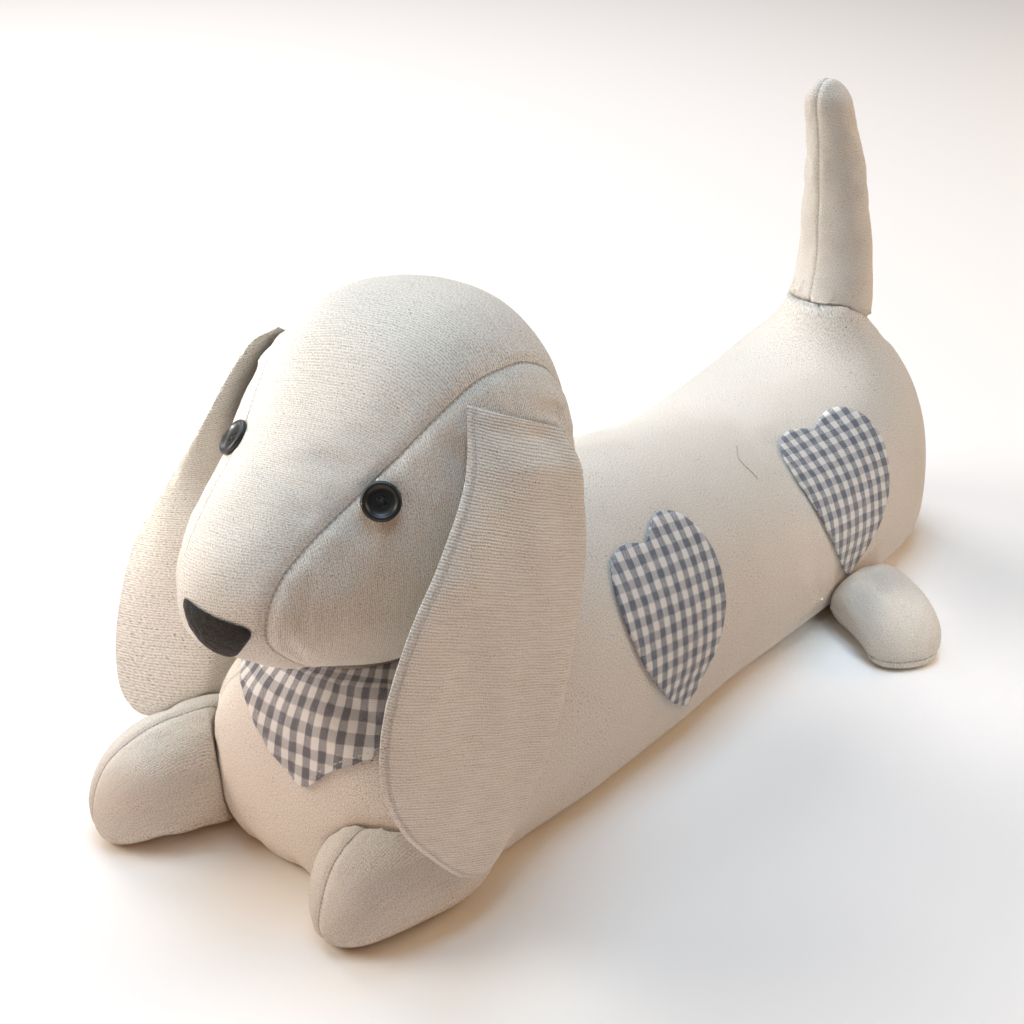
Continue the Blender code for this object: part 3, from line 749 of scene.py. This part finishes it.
# Paws.
# Four small stuffed paws, each of two halves. The front ones are sewn up the middle, so that a
# seam runs over the top of the paw and down its toe, and the hind ones just above the floor.
PAW_SWELL = 0.0015
PAW_HELD = 0.0025
PAW_HELD_FROM = 0.006
PAW_SQUARE = 0.0028
PAW_SOLE_SEAM = 0.0070
PAWS = {
    # node: root of the paw in the row's frame, turn about the upright in degrees
    "paw_front_left": ((0.060, -0.23725), -10),
    "paw_front_right": ((-0.084, -0.25525), -24),
    "paw_hind_left": ((0.088, 0.17575), 54),
    "paw_hind_right": ((-0.088, 0.17575), -54),
}
for node_name, (root, degrees) in PAWS.items():
    paw = skin_of(node_name, node_name + "_cover", PAW_SQUARE)
    co = points(paw)
    angle = math.radians(degrees)
    side_way = np.array([math.cos(angle), math.sin(angle), 0])
    long_way = np.array([math.sin(angle), -math.cos(angle), 0])
    at_root = np.array([*root, 0.0])
    sideways = (co - at_root) @ side_way
    lumpy(paw, size=0.030, depth=0.0012, shift=(4.0, 2.0, 1.0))
    sewn = (np.abs(sideways) < PAW_HELD) & (co[:, 2] > PAW_HELD_FROM)
    stuffed(paw, sewn, PAW_SWELL)
    keep_clear(paw, [body] + ears)
    above_floor(paw)
    round_off(paw)
    co = points(paw)
    sideways = (co - at_root) @ side_way
    lengthways = (co - at_root) @ long_way
    if "hind" in node_name:
        from_seam, run = co[:, 2] - PAW_SOLE_SEAM, lengthways + np.abs(sideways)
    else:
        from_seam, run = sideways, lengthways - co[:, 2]
    gap = np.abs(from_seam)
    drawn_in(paw, gap, run, depth=0.0009, width=0.0022, pucker=0.0005, shift=9.0)
    above_floor(paw)
    over = 1.15 * np.abs(sideways)
    down = np.maximum(0.050 - co[:, 2], 0) * np.clip(np.abs(sideways) / 0.024, 0, 1)
    weave_on(paw, [(lengthways - 0.5 * co[:, 2], over + down)])
    note(paw, "seam", from_seam)
    note(paw, "seam_run", run)
    clad(paw, head_cloth)
    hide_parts(node_name)
    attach(paw, "root")


# Tail.
# A stuffed tail of two halves, sewn up its front and back and set into the top of the rump,
# where the cloth creases.
TAIL_SQUARE = 0.0028
TAIL_SWELL = 0.0015
TAIL_HELD = 0.0025
TAIL_SUNK = 0.004
TAIL_NECK = 0.0268
TAIL_DRAWN = 0.30
TAIL_ROOT = 0.0215
tail = skin_of("tail", "tail_cover", TAIL_SQUARE)
co = points(tail)
lumpy(tail, size=0.028, depth=0.0014, shift=(6.0, 3.0, 2.0))
stuffed(tail, np.abs(co[:, 0]) < TAIL_HELD, TAIL_SWELL)
round_off(tail)
co = points(tail)
from_foot = np.hypot(co[:, 0], co[:, 1] - TAIL_FOOT)
under = np.clip(np.interp(co[:, 1], *TAIL_CREST) + TAIL_SUNK - co[:, 2], 0, 1)
neck = np.where(under > 0, np.maximum(TAIL_NECK - TAIL_DRAWN * under, TAIL_ROOT), 1)
round_tail(co, from_foot, np.minimum(from_foot, neck))
put(tail, co)
keep_clear(tail, [body])
co = points(tail)
gap, run = np.abs(co[:, 0]), co[:, 2]
drawn_in(tail, gap, run, depth=0.0008, width=0.0020, pucker=0.0005, shift=12.0)
weave_on(tail, [(gap + co[:, 1], run)])
note(tail, "seam", co[:, 0])
note(tail, "seam_run", run)
clad(tail, body_cloth)
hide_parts("tail")
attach(tail, "root")


# Bandana.
# A kerchief of blue and white gingham, folded to a band round the neck with its point hanging
# down the chest. Seen from the front, its left edge is raw and frayed, and its right one is
# turned and hand stitched.
NECK_MIDDLE = (0.0, -0.17425, 0.050)
KERCHIEF_COLUMNS = 260
KERCHIEF_ROWS = 44
KERCHIEF_LIFT = 0.0010
KERCHIEF_THICK = 0.0012
KERCHIEF_FOLD = 44.0
KERCHIEF_ROUND = 0.104
KERCHIEF_DEEP = 0.094
KERCHIEF_TURNED = 0.0060
KERCHIEF_WAVER = 0.35
KERCHIEF_ROLL = 0.0030
KERCHIEF_RIPPLE = 0.0011
KERCHIEF_CURL = 0.0009
KERCHIEF_CLEARANCE = 0.0008
FRAY_LENGTH = 0.0042
# stretches of the lower edge: its first column, the one after its last, how many threads
FRAYED = ((86, 137, 190), (137, 152, 60))
HEMMED = (139, 160)
HEM_STITCH = 0.0023
HEM_STEP = 0.0037
HEM_THREAD = 0.00028
STRAY_THREAD = 0.00011
CHECK = 0.0100
GINGHAM_THREAD = 0.0007
GINGHAM_WHITE = (0.800, 0.795, 0.780, 1.0)
GINGHAM_BLUE = (0.155, 0.180, 0.228, 1.0)
KERCHIEF_BLUE = (0.150, 0.152, 0.178, 1.0)
KERCHIEF = [
    # angle left of ahead, inner elevation, outer elevation, all in degrees from the neck's middle
    (-180, 49.5, 43),
    (-150, 49.5, 43),
    (-120, 54, 48),
    (-90, 57.5, 49),
    (-60, 57, 47),
    (-45, 54.5, 40),
    (-32, 51, 33),
    (-17, 48, 28.6),
    (-5, 47, 20.2),
    (10, 47, 12.2),
    (19, 48, 21),
    (33, 51, 26.8),
    (50, 55.5, 37),
    (65, 57, 47),
    (90, 57.5, 49),
    (120, 54, 48),
    (150, 49.5, 43),
    (180, 49.5, 43),
]


def gingham(name, blue_dye):
    """Yarn-dyed check: white and blue threads in even bands both ways, with a plain weave."""
    cloth = Finish(name, {"Roughness": 0.9, "Specular IOR Level": 0.2, "Sheen Weight": 0.1})
    laid = cloth.add("UVMap", {}, uv_map="weave")
    shares, waves = [], []
    for axis, scale in (("X", (900, 90, 1)), ("Y", (90, 900, 1))):
        place = cloth.add("SeparateXYZ", {0: laid}, axis)
        ragged = cloth.maths("MULTIPLY_ADD", cloth.fibre(laid, scale), 0.0015, place)
        beat = cloth.maths("FRACT", cloth.maths("DIVIDE", ragged, CHECK))
        beat = cloth.maths("ABSOLUTE", cloth.maths("SUBTRACT", beat, 0.5))
        shares.append(cloth.band(beat, 0.225, 0.275))
        turns = cloth.maths("MULTIPLY", place, math.pi / GINGHAM_THREAD)
        waves.append(cloth.maths("SINE", turns))
    fuzz = cloth.fibre(laid, 1300)
    crossing = cloth.maths("MULTIPLY", *waves)
    crossing = cloth.maths("MULTIPLY_ADD", cloth.maths("SUBTRACT", fuzz, 0.5), 1.6, crossing)
    over = cloth.band(crossing, -0.42, 0.30)
    upright = cloth.maths("MULTIPLY", shares[0], cloth.maths("MULTIPLY_ADD", over, 0.60, 0.38))
    level = cloth.maths("MULTIPLY", shares[1], cloth.maths("MULTIPLY_ADD", over, -0.60, 0.80))
    blue = cloth.maths("MINIMUM", cloth.maths("ADD", upright, level), 1.0)
    worn = cloth.maths("MULTIPLY_ADD", cloth.fibre(laid, 120), 0.5, 0.72)
    hairy = cloth.maths("MULTIPLY_ADD", fuzz, 0.50, -0.25)
    dyed = cloth.maths("ADD", cloth.maths("MULTIPLY", blue, worn), hairy)
    cloth.feed(cloth.shader, {"Base Color": cloth.blend(dyed, GINGHAM_WHITE, blue_dye)})
    threads = cloth.maths("ADD", *[cloth.maths("ABSOLUTE", wave) for wave in waves])
    cloth.raised(cloth.maths("MULTIPLY_ADD", fuzz, 1.4, threads), 0.5, 0.00025)
    return cloth.material


def outermost(surface, start, aim):
    """Where a line from inside a filled piece comes out of it, and the way out of it there."""
    aim = aim.normalized()
    spot, outward, _, _ = surface.ray_cast(start, aim)
    outward = outward if outward.dot(aim) > 0 else -outward
    return spot, (outward + aim * 0.6).normalized()


def spun(name, threads, sides, thick):
    """A piece of threads, each a tube along a run of (place, sideways, up)."""
    mesh = bmesh.new()
    for run in threads:
        rings = []
        for place, side, up in run:
            ring = []
            for k in range(sides):
                angle = 2 * math.pi * k / sides
                away = side * math.cos(angle) + up * math.sin(angle)
                ring.append(mesh.verts.new(place + away * thick))
            rings.append(ring)
        for here, there in zip(rings, rings[1:]):
            for k in range(sides):
                after = (k + 1) % sides
                mesh.faces.new((here[k], here[after], there[after], there[k]))
        mesh.faces.new(rings[0])
        mesh.faces.new(rings[-1])
    bmesh.ops.recalc_face_normals(mesh, faces=mesh.faces)
    made = bpy.data.objects.new(name, bpy.data.meshes.new(name))
    mesh.to_mesh(made.data)
    mesh.free()
    scene.collection.objects.link(made)
    return made


def loose_threads(name, roots, seed, longest):
    """Short stray threads: each root is (place, way out, way up off the cloth)."""
    draw = np.random.default_rng(seed)
    threads = []
    for place, away, up in roots:
        side = away.cross(up).normalized()
        way = (away + side * draw.normal(0, 0.7) + up * draw.uniform(0.0, 0.4)).normalized()
        length = draw.uniform(0.25, 1.0) ** 1.6 * longest
        bend = side * draw.normal(0, 0.45) - up * 0.25
        run = []
        for step in range(4):
            t = step / 3
            run.append((place + way * length * t + bend * length * t * t * 0.7, side, up))
        threads.append(run)
    return spun(name, threads, 3, STRAY_THREAD)


def joined(parts, name, cloth):
    """Joins small parts to one smooth piece."""
    bpy.ops.object.select_all(action="DESELECT")
    for part in parts:
        part.select_set(True)
    bpy.context.view_layer.objects.active = parts[0]
    bpy.ops.object.join()
    made = just_made(name)
    clad(made, cloth)
    made.data.shade_smooth()
    return made


def thread_cotton(name, colour):
    """Spun cotton thread, matt and a little hairy."""
    cotton = Finish(name, {"Roughness": 0.85, "Sheen Weight": 0.2})
    place = cotton.add("TexCoord", {}, "Object")
    twist = cotton.add("TexNoise", {"Vector": place, "Scale": 2500})
    shade = (*[c * 0.7 for c in colour[:3]], 1.0)
    cotton.feed(cotton.shader, {"Base Color": cotton.blend(twist, shade, colour)})
    return cotton.material


kerchief_cloth = gingham("gingham_kerchief", KERCHIEF_BLUE)
white_thread = thread_cotton("thread_white", (0.78, 0.76, 0.72, 1.0))
body_surface = surface_of(body)
head_surface = surface_of(head)

bpy.ops.object.select_all(action="DESELECT")
bpy.ops.mesh.primitive_grid_add(
    x_subdivisions=KERCHIEF_COLUMNS, y_subdivisions=KERCHIEF_ROWS, size=2
)
bandana = just_made("bandana_cloth")
kerchief = np.array(KERCHIEF, float)
dense = np.arange(-180, 180.5, 0.5)
edges = []
for column in (1, 2):
    edge = np.pad(np.interp(dense, kerchief[:, 0], kerchief[:, column]), 6, mode="wrap")
    edges.append(np.convolve(edge, np.ones(13) / 13, mode="valid"))
placed, laid_across, laid_along = [], [], []
for flat_x, flat_y, _ in points(bandana):
    degrees = flat_x * 180
    share = (1 - flat_y) / 2
    inner = np.interp(degrees, dense, edges[0])
    outer = np.interp(degrees, dense, edges[1])
    outer += KERCHIEF_WAVER * noise.noise(Vector((degrees * 0.9, 0, 0)))
    up_degrees = inner + (outer - inner) * share
    up, round_neck = math.radians(up_degrees), math.radians(degrees)
    ahead = math.cos(round_neck)
    aim = Vector((math.sin(round_neck) * math.cos(up), -ahead * math.cos(up), math.sin(up)))
    spot, outward = outermost(body_surface, Vector(NECK_MIDDLE), aim)
    fold = 1 / (1 + math.exp(-(up_degrees - KERCHIEF_FOLD - 0.03 * degrees) / 0.45))
    roll = KERCHIEF_ROLL * (1 - fold) * math.exp(-max(0.0, KERCHIEF_FOLD - up_degrees) / 7.0)
    roll *= max(0.0, ahead) ** 2
    ripple = KERCHIEF_RIPPLE * noise.noise(Vector((degrees * 0.10, up_degrees * 0.06, 2.0)))
    curl = KERCHIEF_CURL * max(0.0, share - 0.8) * 5
    curl *= 0.5 + noise.noise(Vector((degrees * 0.2, 5, 1)))
    place = spot + outward * (KERCHIEF_LIFT + KERCHIEF_THICK + roll + ripple + abs(curl))
    near_head, head_out, _, _ = head_surface.find_nearest(place)
    apart = (place - near_head).dot(head_out)
    if apart < KERCHIEF_CLEARANCE:
        place += head_out * (KERCHIEF_CLEARANCE - apart)
    placed.append(place)
    laid_across.append(round_neck * KERCHIEF_ROUND)
    laid_along.append(up * KERCHIEF_DEEP + KERCHIEF_TURNED * fold)
put(bandana, placed)
line = KERCHIEF_COLUMNS + 1
draw = np.random.default_rng(12)
roots = []
for index in [index for stretch in FRAYED for index in draw.integers(*stretch)]:
    spot, inner_spot = placed[index], placed[index + 2 * line]
    up = body_surface.find_nearest(spot)[1]
    away = (spot - inner_spot).normalized()
    root = spot - away * 0.0008 - up * KERCHIEF_THICK * draw.uniform(0.1, 0.9)
    roots.append((root, away, up))
kerchief_fray = loose_threads("bandana_fray", roots, seed=14, longest=FRAY_LENGTH)
clad(kerchief_fray, white_thread)
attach(kerchief_fray, "root")
hem = [placed[index + 3 * line] for index in range(*HEMMED)]
hem_runs = np.concatenate([[0], np.cumsum([(b - a).length for a, b in zip(hem, hem[1:])])])
hem_stitches = []
for at in np.arange(0.001, hem_runs[-1] - 0.002, HEM_STEP):
    start, end = [
        Vector([np.interp(at + step, hem_runs, [spot[k] for spot in hem]) for k in range(3)])
        for step in (0, HEM_STITCH)
    ]
    up = body_surface.find_nearest(start)[1]
    way = (end - start).normalized()
    bpy.ops.object.select_all(action="DESELECT")
    bpy.ops.mesh.primitive_uv_sphere_add(segments=8, ring_count=6, radius=HEM_THREAD)
    stitch = bpy.context.object
    co = points(stitch)
    co[:, 2] *= 4.2
    put(stitch, co)
    stitch.data.transform(way.to_track_quat("Z", "Y").to_matrix().to_4x4())
    stitch.data.transform(Matrix.Translation((start + end) / 2 + up * 0.0002))
    hem_stitches.append(stitch)
hem_thread = joined(hem_stitches, "bandana_hem_stitches", white_thread)
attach(hem_thread, "root")
weave_on(bandana, [(np.array(laid_across), np.array(laid_along))])
turned_out(bandana, merged=0.00002)
bandana.data.shade_smooth()
finish_modifier(bandana, "SOLIDIFY", thickness=KERCHIEF_THICK, offset=-1.0)
clad(bandana, kerchief_cloth)
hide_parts("bandana")
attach(bandana, "root")


# Hearts.
# Two hearts cut from the gingham with raw edges and stuck and tacked to the left flank. Their
# edges stand a little off the canvas and shed short threads.
HEART_RINGS = 16
HEART_SIDES = 176
HEART_THICK = 0.0009
HEART_LIFT = 0.0007
HEART_FRAY = 0.0036
HEART_THREADS = 150
FLANK_ROUND = 0.093
HEARTS = {
    # node: place along, height on the flank in degrees, lean of the heart, lean of the check
    "heart_front": (-0.03725, 22.8, 6.0, -8.0),
    "heart_rear": (0.16275, 25.6, -5.0, -8.0),
}
HEART_HALF = [
    # across, up
    (0.0, 0.047),
    (0.010, 0.053),
    (0.022, 0.056),
    (0.0345, 0.051),
    (0.043, 0.039),
    (0.0465, 0.022),
    (0.0445, 0.003),
    (0.038, -0.016),
    (0.0275, -0.033),
    (0.0145, -0.049),
    (0.0, -0.062),
]


def round_outline(corners, count):
    """An even run of points along a closed outline."""
    corners = np.array(corners, float)
    closed = np.vstack([corners, corners[:1]])
    runs = np.concatenate([[0], np.cumsum(np.linalg.norm(np.diff(closed, axis=0), axis=1))])
    spots = np.linspace(0, runs[-1], count, endpoint=False)
    return np.stack([np.interp(spots, runs, closed[:, k]) for k in (0, 1)], 1)


def softened(outline, span, sharp):
    """Rounds an outline, but keeps its sharp corners."""
    kernel = np.hanning(span + 2)[1:-1]
    kernel /= kernel.sum()
    wrapped = np.pad(outline, ((span // 2, span // 2), (0, 0)), mode="wrap")
    soft = np.stack([np.convolve(wrapped[:, k], kernel, mode="valid") for k in (0, 1)], 1)
    for corner in sharp:
        gap = np.linalg.norm(outline - np.array(corner), axis=1)
        keep = np.exp(-((gap / 0.004) ** 2))[:, None]
        soft = soft * (1 - keep) + outline * keep
    return soft


def disc_on(name, outline, rings, on_surface):
    """A round of cloth in rings, stretched to an outline and laid on a surface."""
    bpy.ops.object.select_all(action="DESELECT")
    bpy.ops.mesh.primitive_circle_add(vertices=len(outline), radius=1.0, fill_type="NGON")
    made = just_made(name)
    bpy.ops.object.mode_set(mode="EDIT")
    bpy.ops.mesh.select_all(action="SELECT")
    for _ in range(rings - 1):
        bpy.ops.mesh.inset(thickness=1.0 / rings, use_boundary=True)
    bpy.ops.mesh.poke()
    bpy.ops.object.mode_set(mode="OBJECT")
    flat = points(made)
    reach = np.hypot(flat[:, 0], flat[:, 1])
    turn = (np.arctan2(-flat[:, 0], flat[:, 1]) / (2 * math.pi)) % 1 * len(outline)
    low = np.floor(turn).astype(int) % len(outline)
    high = (low + 1) % len(outline)
    part = (turn - np.floor(turn))[:, None]
    rim = outline[low] * (1 - part) + outline[high] * part
    shaped = rim * np.minimum(1, reach)[:, None]
    put(made, [on_surface(x, y, r) for (x, y), r in zip(shaped, reach)])
    return made, shaped, reach


def leant(flat, degrees):
    """Turns flat points clockwise."""
    lean = math.radians(degrees)
    across = flat[:, 0] * math.cos(lean) + flat[:, 1] * math.sin(lean)
    along = -flat[:, 0] * math.sin(lean) + flat[:, 1] * math.cos(lean)
    return across, along


half = np.array(HEART_HALF)
whole = np.vstack([half, (half * (-1, 1))[-2:0:-1]])[::-1]
whole = np.roll(whole, 1, axis=0)
heart_cloth = gingham("gingham_heart", GINGHAM_BLUE)
for number, (node_name, (along_body, height, lean, check_lean)) in enumerate(HEARTS.items()):
    cut = round_outline(whole, HEART_SIDES)
    cut = softened(cut, span=9, sharp=[HEART_HALF[0], HEART_HALF[-1]])
    ragged = uneven((k * 0.9, number * 7.0, 0) for k in range(len(cut)))
    cut = np.stack(leant(cut * (1 + 0.008 * ragged)[:, None], -lean), 1)

    def on_flank(across, up, reach):
        angle = math.radians(height) + up / FLANK_ROUND
        start = Vector((0, along_body + across, BODY_AXIS))
        aim = Vector((math.cos(angle), 0, math.sin(angle)))
        spot, outward = outermost(body_surface, start, aim)
        curl = max(0.0, reach - 0.82) / 0.18
        wave = noise.noise(Vector((across * 90, up * 90, number * 3.0)))
        lift = HEART_LIFT + 0.0009 * curl * (0.35 + abs(wave)) + 0.0002 * wave
        return spot + outward * (lift + HEART_THICK)

    heart, flat, reach = disc_on(node_name + "_cloth", cut, HEART_RINGS, on_flank)
    weave_on(heart, [leant(flat, check_lean)])
    turned_out(heart)
    if facing(heart)[:, 0].mean() < 0:
        heart.data.flip_normals()
    heart.data.shade_smooth()
    rim_spots = [Vector(spot) for spot, r in zip(points(heart), reach) if r > 0.995]
    middle = sum(rim_spots, Vector()) / len(rim_spots)
    finish_modifier(heart, "SOLIDIFY", thickness=HEART_THICK, offset=-1.0)
    clad(heart, heart_cloth)
    draw = np.random.default_rng(40 + number)
    roots = []
    for index in draw.choice(len(rim_spots), HEART_THREADS):
        spot = rim_spots[index]
        up = body_surface.find_nearest(spot)[1]
        away = spot - middle
        away = (away - up * away.dot(up)).normalized()
        root = spot - away * 0.0006 - up * HEART_THICK * draw.uniform(0.1, 0.9)
        roots.append((root, away, up))
    fray = loose_threads(node_name + "_fray", roots, seed=60 + number, longest=HEART_FRAY)
    clad(fray, white_thread)
    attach(fray, "root")
    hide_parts(node_name)
    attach(heart, "root")


# Loose thread.
# One stray end of grey sewing thread, left from the making. It clings to the flank between the
# hearts.
FLANK_THREAD = 0.00022
THREAD_LIFT = 0.0005
LOOSE_THREAD = [
    (0.0329, 0.1005), (0.0370, 0.0955), (0.0405, 0.0905), (0.0429, 0.0877), (0.0476, 0.0863),
    (0.0513, 0.0866), (0.0553, 0.0868), (0.0593, 0.0861),
]
run = []
for x, y in LOOSE_THREAD:
    spot, up, _, _ = body_surface.ray_cast(Vector((x, y, 0.3)), Vector((0, 0, -1)))
    up = up if up.z > 0 else -up
    run.append((spot + up * THREAD_LIFT, Vector((0.4, 0.9, 0.0)).cross(up).normalized(), up))
loose_end = spun("flank_thread", [run], 6, FLANK_THREAD)
finish_modifier(loose_end, "SUBSURF", levels=2, render_levels=2)
clad(loose_end, thread_cotton("thread_grey", (0.22, 0.21, 0.20, 1.0)))
loose_end.data.shade_smooth()
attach(loose_end, "root")


# Nose.
# A rounded triangle of thick charcoal felt, glued to the front of the muzzle. Its cut edge is
# soft, and pale hairs of the felt stand out of it.
NOSE_MIDDLE = (-0.31225, 0.181)
MUZZLE_MIDDLE = (0.0, -0.26925, 0.188)
NOSE_RINGS = 14
NOSE_SIDES = 96
NOSE_THICK = 0.0013
NOSE_BACKING = 0.0006
NOSE_LIFT = 0.0008
NOSE_ROUND = 0.0075
NOSE_CORNERS = [(-0.0165, 0.0140), (0.0275, 0.0075), (0.0080, -0.0185)]


def felt(name):
    """Charcoal wool felt with a grey and brown fleck of fibre."""
    wool = Finish(name, {"Roughness": 0.95, "Specular IOR Level": 0.15, "Sheen Weight": 0.25})
    place = wool.add("TexCoord", {}, "Object")
    inputs = {"Vector": place, "Scale": 700, "Detail": 4, "Distortion": 2.5}
    tangle = wool.add("TexNoise", inputs)
    shade = wool.add("ValToRGB", {0: tangle})
    dark, light = shade.node.color_ramp.elements
    dark.position, dark.color = 0.35, (0.007, 0.006, 0.0055, 1)
    light.position, light.color = 0.72, (0.050, 0.043, 0.037, 1)
    wool.feed(wool.shader, {"Base Color": shade})
    wool.raised(tangle, 0.9, 0.0006)
    return wool.material


corners = np.array(NOSE_CORNERS)
rounded = []
for corner, last, following in zip(corners, np.roll(corners, 1, 0), np.roll(corners, -1, 0)):
    start = corner + (last - corner) / np.linalg.norm(last - corner) * NOSE_ROUND
    end = corner + (following - corner) / np.linalg.norm(following - corner) * NOSE_ROUND
    for t in np.arange(7) / 6:
        rounded.append((1 - t) ** 2 * start + 2 * t * (1 - t) * corner + t**2 * end)
nose_cut = round_outline(rounded, NOSE_SIDES)[::-1]


def on_muzzle(across, up, reach):
    start = Vector(MUZZLE_MIDDLE)
    aim = Vector((across, NOSE_MIDDLE[0], NOSE_MIDDLE[1] + up)) - start
    spot, outward = outermost(head_surface, start, aim)
    dome = math.sqrt(max(0.0, 1 - reach**2.6))
    fluff = 0.0003 * noise.noise(Vector((across * 500, up * 500, 3.0)))
    return spot + outward * (NOSE_LIFT + NOSE_THICK * dome + fluff)


nose, _, _ = disc_on("nose_felt", nose_cut, NOSE_RINGS, on_muzzle)
turned_out(nose)
if facing(nose)[:, 1].mean() > 0:
    nose.data.flip_normals()
finish_modifier(nose, "SOLIDIFY", thickness=NOSE_BACKING, offset=-1.0)
nose.data.shade_smooth()
clad(nose, felt("felt_charcoal"))
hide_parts("nose")
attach(nose, "root")


# Eyes.
# Black four-hole shirt buttons of moulded plastic with a raised rim, sewn on through the head
# with black thread.
EYES = {
    # node: a place near it, turn of the button in degrees
    "eye_left": ((0.0520, -0.24775, 0.2404), 18.0),
    "eye_right": ((-0.0452, -0.24875, 0.2442), 40.0),
}
BUTTON_STEPS = 64
BUTTON_PROFILE = [
    # radius, height
    (0.0, 0.0),
    (0.0084, 0.0),
    (0.0094, 0.0003),
    (0.0100, 0.0010),
    (0.0100, 0.0019),
    (0.0097, 0.0027),
    (0.0091, 0.0032),
    (0.0083, 0.0033),
    (0.0076, 0.0030),
    (0.0071, 0.0024),
    (0.0062, 0.0019),
    (0.0045, 0.0017),
    (0.0, 0.0017),
]
HOLE_OUT = 0.0021
HOLE_RADIUS = 0.0009
HOLE_SIDES = 20
BUTTON_LIFT = 0.0004
SETTLING = 0.006
STRAND_HALF = 0.0023
STRAND_THICK = 0.00024
STRAND_APART = 0.00022
STRAND_ARCH = 0.0011


def moulded(name, colour, roughness):
    """Glossy moulded plastic with faint scuffs."""
    plastic = Finish(name, {"Base Color": colour, "Coat Weight": 0.15})
    place = plastic.add("TexCoord", {}, "Object")
    scuff = plastic.add("TexNoise", {"Vector": place, "Scale": 900, "Detail": 3})
    inputs = {"Value": scuff, "To Min": roughness - 0.08, "To Max": roughness + 0.14}
    plastic.feed(plastic.shader, {"Roughness": plastic.add("MapRange", inputs)})
    plastic.raised(scuff, 0.12, 0.0002)
    return plastic.material


button_black = moulded("button_black", (0.012, 0.013, 0.014, 1.0), roughness=0.38)
black_thread = thread_cotton("thread_black", (0.03, 0.03, 0.032, 1.0))
for node_name, (near, spin) in EYES.items():
    spot, out, _, _ = head_surface.find_nearest(Vector(near))
    nearby = [
        head_surface.find_nearest(spot + Vector(step) * SETTLING)[1]
        for step in ((1, 0, 0), (-1, 0, 0), (0, 1, 0), (0, -1, 0), (0, 0, 1), (0, 0, -1))
    ]
    out = (out + sum(nearby, Vector())).normalized()
    seat = Matrix.Translation(spot + out * BUTTON_LIFT)
    seat = seat @ out.to_track_quat("Z", "Y").to_matrix().to_4x4()
    seat = seat @ Matrix.Rotation(math.radians(spin), 4, "Z")
    bpy.ops.object.select_all(action="DESELECT")
    bpy.ops.mesh.primitive_circle_add(vertices=3, radius=0.001)
    eye = just_made(node_name + "_button")
    mesh = bmesh.new()
    for here, there in zip(BUTTON_PROFILE, BUTTON_PROFILE[1:]):
        mesh.edges.new([mesh.verts.new((radius, 0, high)) for radius, high in (here, there)])
    bmesh.ops.remove_doubles(mesh, verts=mesh.verts, dist=1e-6)
    mesh.to_mesh(eye.data)
    mesh.free()
    bpy.ops.object.mode_set(mode="EDIT")
    bpy.ops.mesh.select_all(action="SELECT")
    bpy.ops.mesh.spin(steps=BUTTON_STEPS, angle=2 * math.pi, center=(0, 0, 0), axis=(0, 0, 1))
    bpy.ops.object.mode_set(mode="OBJECT")
    turned_out(eye, merged=0.00001)
    bpy.ops.object.select_all(action="DESELECT")
    drills = []
    for k in range(4):
        angle = math.pi / 4 + math.pi / 2 * k
        bpy.ops.mesh.primitive_cylinder_add(
            vertices=HOLE_SIDES, radius=HOLE_RADIUS, depth=0.02,
            location=(HOLE_OUT * math.cos(angle), HOLE_OUT * math.sin(angle), 0),
        )
        drills.append(bpy.context.object)
    for drill in drills:
        finish_modifier(eye, "BOOLEAN", operation="DIFFERENCE", solver="EXACT", object=drill)
    for drill in drills:
        bpy.data.objects.remove(drill)
    eye.data.transform(seat)
    pick(eye)
    bpy.ops.object.shade_smooth_by_angle(angle=math.radians(40))
    clad(eye, button_black)
    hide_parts(node_name)
    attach(eye, "root")
    strands = []
    for k in (0, 1):
        for offset in (-STRAND_APART, STRAND_APART):
            bpy.ops.object.select_all(action="DESELECT")
            bpy.ops.mesh.primitive_cylinder_add(
                vertices=8, radius=STRAND_THICK, depth=2 * STRAND_HALF
            )
            strand = bpy.context.object
            finish_modifier(
                strand, "SUBSURF", levels=1, render_levels=1, subdivision_type="SIMPLE"
            )
            co = points(strand)
            arch = np.cos(np.clip(co[:, 2] / STRAND_HALF, -1, 1) * math.pi / 2)
            lift = co[:, 1] + 0.0010 + STRAND_ARCH * arch
            put(strand, np.stack([co[:, 2], co[:, 0] + offset, lift], 1))
            strand.data.transform(Matrix.Rotation(math.pi / 4 + math.pi / 2 * k, 4, "Z"))
            strand.data.transform(seat)
            strands.append(strand)
    sewn_on = joined(strands, node_name + "_thread", black_thread)
    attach(sewn_on, "root")
